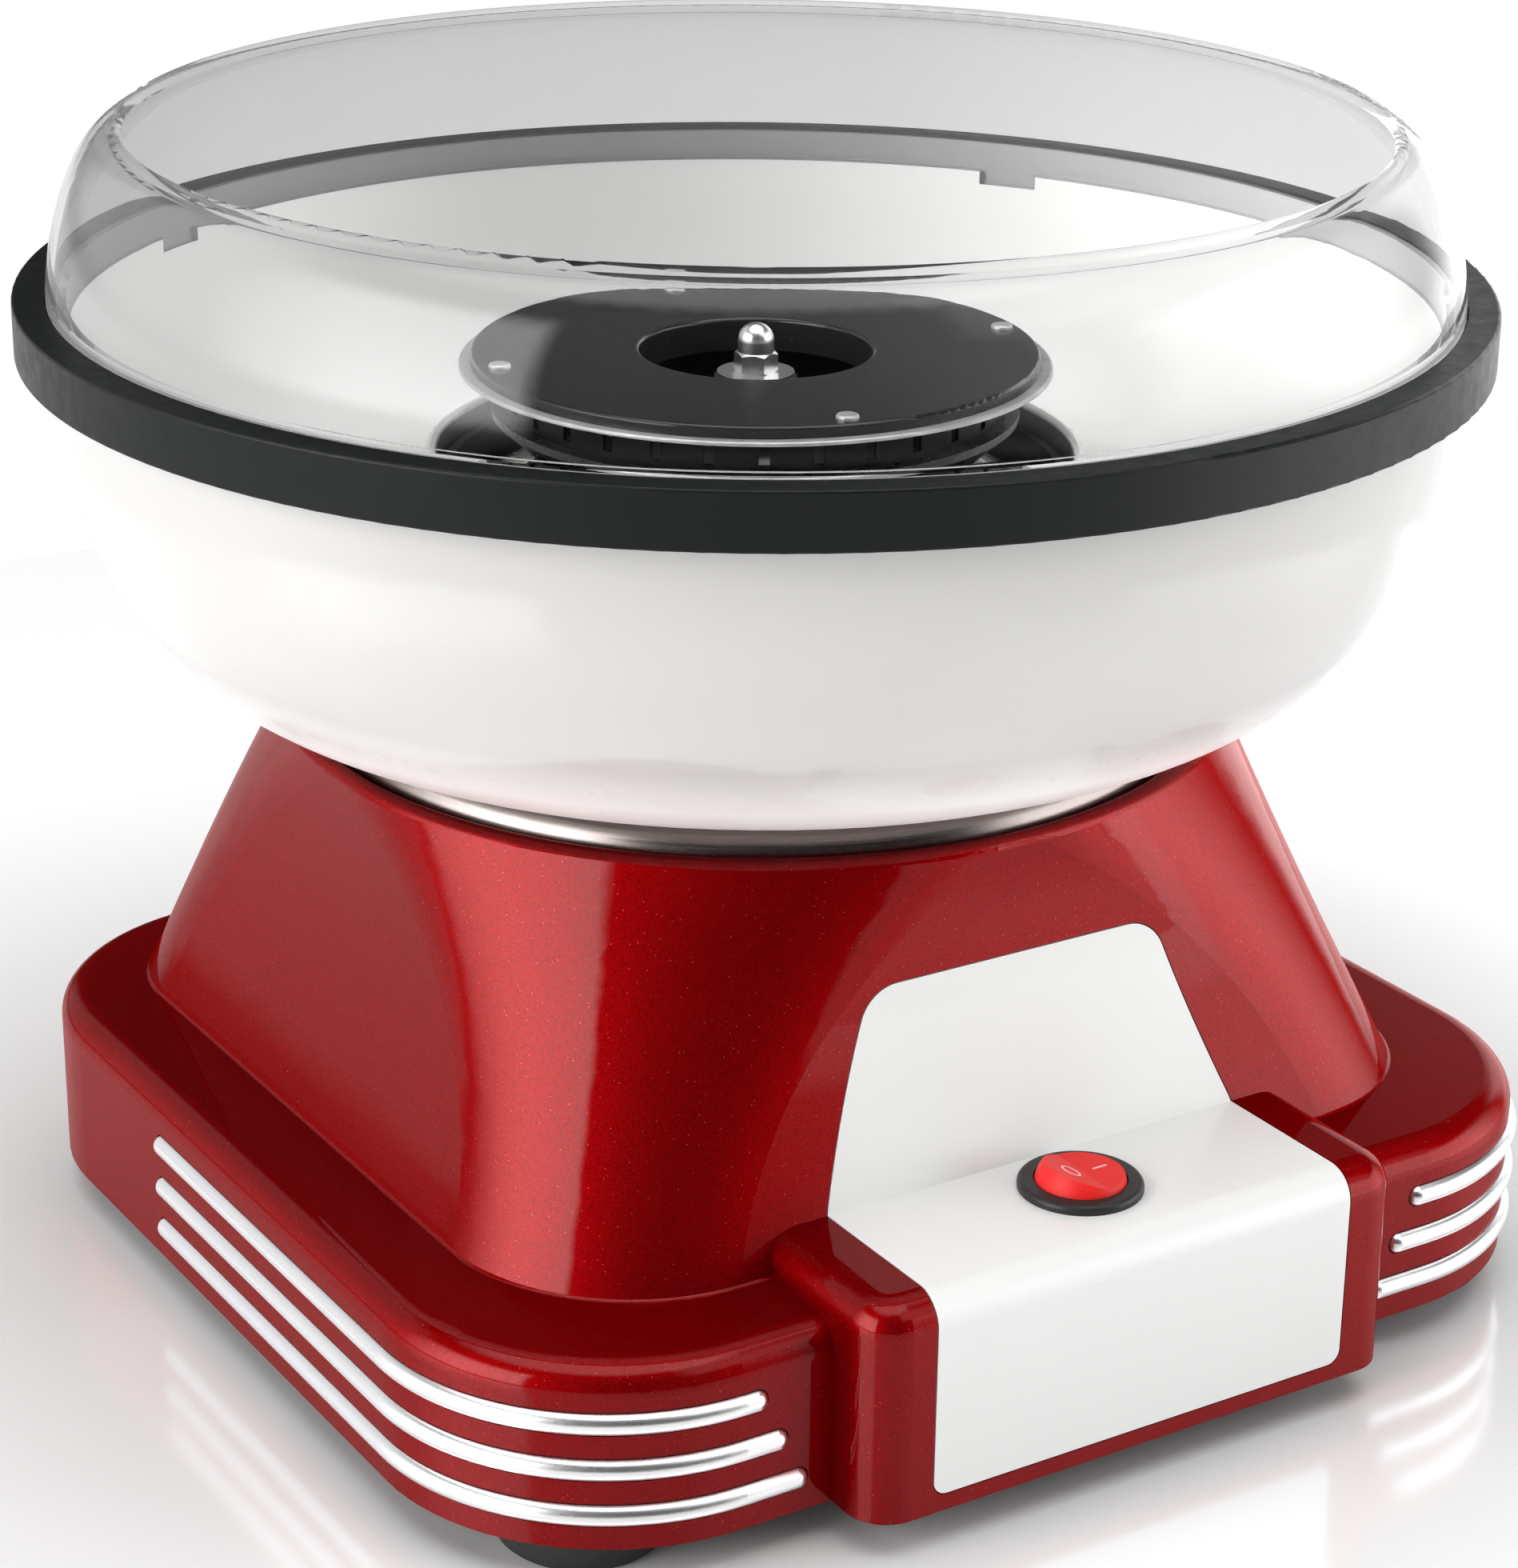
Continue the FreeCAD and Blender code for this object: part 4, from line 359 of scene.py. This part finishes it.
# ---------------------------------------------------------------- metals and sintered materials
def lip_aluminium():
    """Spun aluminium edge, beaten slightly uneven where it is rolled over."""
    g = Graph("lip_aluminium", Metallic=0.6)
    g.set("Base Color", g.blend(g.noise(scale=140, detail=4), (0.32, 0.32, 0.32), (0.6, 0.6, 0.6)))
    g.set("Roughness", g.varied(g.noise(scale=300, detail=3), 0.34, 0.48))
    g.set("Normal", g.bump(g.noise(scale=260, detail=4, rough=0.6), strength=0.5, depth=0.0006))
    return g.material


# Darker colour, lighter colour, roughness.
BRUSHED = {
    "dish_steel": ((0.07, 0.058, 0.053), (0.3, 0.262, 0.25), 0.26),
    "pan_dark": ((0.03, 0.03, 0.031), (0.11, 0.105, 0.1), 0.34),
    "rotor_steel": ((0.15, 0.15, 0.155), (0.34, 0.34, 0.35), 0.4),
}
# Colour, roughness.
POLISHED = {
    "trim_chrome": ((0.92, 0.925, 0.94), 0.27),
    "nut_chrome": ((0.8, 0.8, 0.79), 0.27),
    "shaft_steel": ((0.74, 0.74, 0.74), 0.32),
    "zinc_steel": ((0.62, 0.63, 0.65), 0.26),
    "terminal_brass": ((0.78, 0.6, 0.28), 0.24),
}
# Darker colour, lighter colour, roughness, scale of the grain, share of metal.
MOTTLED = {
    "element_sheath": ((0.55, 0.53, 0.51), (0.86, 0.84, 0.82), 0.24, 900, 1.0),
    "clip_steel": ((0.008, 0.008, 0.008), (0.026, 0.025, 0.024), 0.42, 900, 1.0),
    "motor_can": ((0.42, 0.42, 0.4), (0.6, 0.59, 0.55), 0.38, 900, 1.0),
    "bearing_bronze": ((0.36, 0.2, 0.08), (0.55, 0.34, 0.15), 0.45, 900, 1.0),
    "magnet_ferrite": ((0.02, 0.02, 0.022), (0.05, 0.05, 0.052), 0.7, 700, 0.0),
    "brush_carbon": ((0.015, 0.015, 0.015), (0.04, 0.04, 0.04), 0.6, 900, 0.0),
}
SHADE = 0.93


def brushed(name, dark, light, rough):
    """Metal with a fine brushed grain that runs round the spin axis."""
    g = Graph(name, Metallic=1.0)
    along_grain = g.stretched((2.2, 1500, 1500), g.turned())
    grain = g.noise(scale=1.0, detail=4, rough=0.6, source=along_grain)
    cloud = g.varied(g.noise(scale=22, detail=3), 0.8, 1.0)
    tone = g.math("MULTIPLY", g.span(grain, 0.25, 0.75, 0.55, 1.0), cloud)
    g.set("Base Color", g.blend(tone, dark, light))
    g.set("Roughness", g.span(grain, 0.2, 0.8, rough - 0.06, rough + 0.08))
    g.set("Normal", g.bump(grain, strength=0.18, depth=0.00006))
    return g.material


def polished(name, tint, rough):
    """Plated or polished metal with faint waves and hairline scratches."""
    g = Graph(name, Metallic=1.0)
    shade = tuple(c * SHADE for c in tint)
    g.set("Base Color", g.blend(g.noise(scale=60, detail=3), shade, tint))
    hair = g.noise(scale=1.0, detail=3, rough=0.6, source=g.stretched((300, 2200, 2200)))
    g.set("Roughness", g.varied(hair, rough, rough + 0.05))
    g.set("Normal", g.bump(g.noise(scale=180, detail=2), strength=0.02, depth=0.0004))
    return g.material


def mottled(name, dark, light, rough, grain, metallic):
    """Drawn, sheet, sintered or pressed piece with a mottled surface."""
    g = Graph(name, Metallic=metallic)
    g.set("Base Color", g.blend(g.noise(scale=80, detail=5, rough=0.6), dark, light))
    g.set("Roughness", g.varied(g.noise(scale=240, detail=3), rough - 0.07, rough + 0.07))
    g.set("Normal", g.bump(g.noise(scale=grain, detail=3), strength=0.2, depth=0.00008))
    return g.material


def make_materials():
    """One material for each slot of the record."""
    materials = {
        "red_metallic": red_metallic(),
        "panel_white": panel_white(),
        "bowl_white": bowl_white(),
        "guard_clear": guard_clear(),
        "lid_black": lid_enamel(),
        "lip_aluminium": lip_aluminium(),
    }
    families = ((plastic, PLASTICS), (brushed, BRUSHED), (polished, POLISHED), (mottled, MOTTLED))
    for make, rows in families:
        for name, values in rows.items():
            materials[name] = make(name, *values)
    return materials


def dress_nodes(materials):
    """Gives each CAD node the material of its slot in the record."""
    for part in frame["record"]["subparts"]:
        node = frame["nodes"][part["node"]]
        material = materials[part["material_slot"]]
        if not node.material_slots:
            node.data.materials.append(material)
        for slot in node.material_slots:
            slot.material = material


def add_object(name, bm, material):
    """Scene object made from a bmesh, which is freed."""
    mesh = bpy.data.meshes.new(name)
    bm.to_mesh(mesh)
    bm.free()
    mesh.materials.append(material)
    made = bpy.data.objects.new(name, mesh)
    bpy.context.scene.collection.objects.link(made)
    return made


# ---------------------------------------------------------------- rocker marks
# The rocker's top is two slopes that rise from a crease over its pin.
ROCKER_TILT = math.radians(9)
ROCKER_CREASE = 3.3 * MM
ROCKER_SLOPE = 1.7 / 10.2
MARK_RISE = 0.04 * MM
MARK_DEPTH = 0.15 * MM
STROKE = 0.5 * MM
RING_X = -3.05 * MM
RING_HALF_X = 1.35 * MM
RING_HALF_Y = 2.3 * MM
RING_POINTS = 64
BAR_X = 3.9 * MM
BAR_HALF = 1.6 * MM


def rocker_top(x, y, rise):
    """Point over the rocker's top face, with x and y measured from the middle of its crease."""
    joints = frame["record"]["behaviour"]["joints"]
    pivot = next(j for j in joints if j["name"] == "rocker_tilt")["pos_m"]
    level = Vector((x, y, ROCKER_CREASE + abs(x) * ROCKER_SLOPE + rise))
    return Vector(pivot) + Matrix.Rotation(ROCKER_TILT, 3, "Y") @ level


def stroke_section(bm, path, i, closed):
    """Four corners of a stroke at point i of its path: two over the rocker's face, two under it."""
    x, y = path[i]
    ahead = path[(i + 1) % len(path)] if closed else path[min(i + 1, len(path) - 1)]
    behind = path[i - 1] if closed else path[max(i - 1, 0)]
    along = Vector((ahead[0] - behind[0], ahead[1] - behind[1])).normalized()
    side = Vector((-along.y, along.x)) * STROKE / 2
    corners = ((1, MARK_RISE), (-1, MARK_RISE), (-1, -MARK_DEPTH), (1, -MARK_DEPTH))
    return [bm.verts.new(rocker_top(x + k * side.x, y + k * side.y, rise)) for k, rise in corners]


def make_mark(name, path, closed, material):
    """Printed stroke that follows a path of (x, y) points on the rocker and rides on it."""
    bm = bmesh.new()
    sections = [stroke_section(bm, path, i, closed) for i in range(len(path))]
    for first, second in zip(sections, sections[1:] + (sections[:1] if closed else [])):
        for i in range(4):
            j = (i + 1) % 4
            bm.faces.new((first[i], first[j], second[j], second[i]))
    if not closed:
        bm.faces.new(sections[0])
        bm.faces.new(reversed(sections[-1]))
    bmesh.ops.recalc_face_normals(bm, faces=bm.faces)
    stroke = add_object(name, bm, material)
    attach(stroke, "rocker")


def make_marks():
    """O on the raised half of the rocker and I on the pressed half."""
    ink = mark_ink()
    turns = [2 * math.pi * i / RING_POINTS for i in range(RING_POINTS)]
    ring = [(RING_X + RING_HALF_X * math.cos(t), RING_HALF_Y * math.sin(t)) for t in turns]
    bar = [(BAR_X - BAR_HALF, 0), (BAR_X + BAR_HALF, 0)]
    make_mark("mark_off", ring, True, ink)
    make_mark("mark_on", bar, False, ink)


# ---------------------------------------------------------------- floor
FLOOR_RADIUS = 0.5
FLOOR_SEGMENTS = 96
# Painted shadow on the floor: full out to the first radius from the machine, gone by the second.
FLOOR_SHADOW_FULL_TO = 0.15
FLOOR_SHADOW_GONE_AT = 0.3


def floor_pale():
    """Pale polished tabletop with a painted shadow that darkens it near the machine."""
    g = Graph("floor_pale", Metallic=0.16, Specular_IOR_Level=0.8)
    away = g.add("VectorMath", operation="LENGTH")
    g.links.new(g.place(), away.inputs[0])
    # Painted shadow: darker colour near the machine, fading out further away.
    past_painted_shadow = g.span(away.outputs["Value"], FLOOR_SHADOW_FULL_TO, FLOOR_SHADOW_GONE_AT, 0.0, 1.0)
    painted_shade_and_cloud = g.math("ADD", past_painted_shadow, g.varied(g.noise(scale=4, detail=3), -0.03, 0.03))
    g.set("Base Color", g.blend(painted_shade_and_cloud, (0.8, 0.8, 0.8), (0.98, 0.98, 0.98)))
    g.set("Roughness", g.varied(g.noise(scale=5, detail=2), 0.12, 0.15))
    return g.material


def make_floor():
    """Round tabletop. Beyond it the studio's pale sweep goes on."""
    bm = bmesh.new()
    bmesh.ops.create_circle(bm, cap_ends=True, segments=FLOOR_SEGMENTS, radius=FLOOR_RADIUS)
    add_object("floor", bm, floor_pale())


# ---------------------------------------------------------------- light
# Windows of light: bearing in degrees from +X, sides and heights as (from, fade in, to, fade out)
# in degrees, and brightness. Where the sides are None, the window goes all the way round.
WINDOWS = (
    (180, (-50, 45, 25, 5), (-6, 8, 42, 12), 6.8),  # left
    (0, (-64, 14, 14, 40), (-16, 4, 34, 12), 4.2),  # right
    (0, (8, 14, 58, 26), (-16, 4, 30, 12), 2.6),  # right, towards the rear
    (112, (-30, 12, 30, 12), (-6, 8, 50, 12), 0.75),  # rear
    (-70, (-20, 14, 40, 20), (26, 10, 72, 10), 1.45),  # high in front
    (0, None, (52, 14, 200, 1), 3.0),  # overhead
    (0, None, (-200, 1, -3, 4), 1.0),  # pale sweep under the horizon
)
AMBIENT = 0.05
BACKDROP = 1.0


class Sky(Nodes):
    """World nodes that read the direction of a ray and add up soft windows of light."""

    def __init__(self):
        world = bpy.data.worlds.new("studio")
        super().__init__(world)
        bpy.context.scene.world = world
        self.x, self.y, self.z = self.parts(self.add("TexCoord").outputs["Generated"])
        self.total = AMBIENT

    def edge(self, value, low, high):
        """Smooth step from 0 at low to 1 at high."""
        node = self.add("MapRange", interpolation_type="SMOOTHSTEP")
        node.inputs["From Min"].default_value = low
        node.inputs["From Max"].default_value = high
        self.links.new(value, node.inputs["Value"])
        return node.outputs["Result"]

    def bearing(self, towards_deg):
        """Angle in degrees, from -180 to 180, between a ray's bearing and the given one."""
        cosine = math.cos(math.radians(towards_deg))
        sine = math.sin(math.radians(towards_deg))
        x_cosine, y_sine = self.math("MULTIPLY", self.x, cosine), self.math("MULTIPLY", self.y, sine)
        y_cosine, x_sine = self.math("MULTIPLY", self.y, cosine), self.math("MULTIPLY", self.x, sine)
        along = self.math("ADD", x_cosine, y_sine)
        across = self.math("SUBTRACT", y_cosine, x_sine)
        return self.math("DEGREES", self.math("ARCTAN2", across, along))

    def height(self):
        """Angle of a ray over the horizon, in degrees."""
        return self.math("DEGREES", self.math("ARCSINE", self.z))

    def add_window(self, towards_deg, sides, heights, glow):
        """Adds one row of WINDOWS."""
        product = glow
        for value, spans in ((self.bearing(towards_deg), sides), (self.height(), heights)):
            if spans:
                low, low_fade, high, high_fade = spans
                product = self.math("MULTIPLY", product, self.edge(value, low, low + low_fade))
                faded = self.math("SUBTRACT", 1.0, self.edge(value, high - high_fade, high))
                product = self.math("MULTIPLY", product, faded)
        self.total = self.math("ADD", self.total, product)

    def seen(self):
        """1 for a ray that goes straight from the camera to the world, also through the guard."""
        path = self.add("LightPath").outputs
        bounces = self.math("ADD", path["Diffuse Depth"], path["Glossy Depth"])
        straight = self.math("LESS_THAN", bounces, 0.5)
        through = self.math("MULTIPLY", path["Is Transmission Ray"], straight)
        return self.math("MAXIMUM", path["Is Camera Ray"], through)

    def finish(self):
        """The windows light the machine, and the backdrop stays plain white."""
        seen = self.seen()
        light = self.math("MULTIPLY", self.total, self.math("SUBTRACT", 1.0, seen))
        strength = self.math("ADD", light, self.math("MULTIPLY", seen, BACKDROP))
        background = self.nodes["Background"]
        background.inputs["Color"].default_value = (1, 1, 1, 1)
        self.links.new(strength, background.inputs["Strength"])


def make_light():
    """Soft studio light all from the world."""
    sky = Sky()
    for window in WINDOWS:
        sky.add_window(*window)
    sky.finish()


def use_plain_colours():
    view = bpy.context.scene.view_settings
    view.view_transform = "Standard"
    view.look = "None"


make_camera()
make_light()
use_plain_colours()
make_floor()
dress_nodes(make_materials())
make_marks()
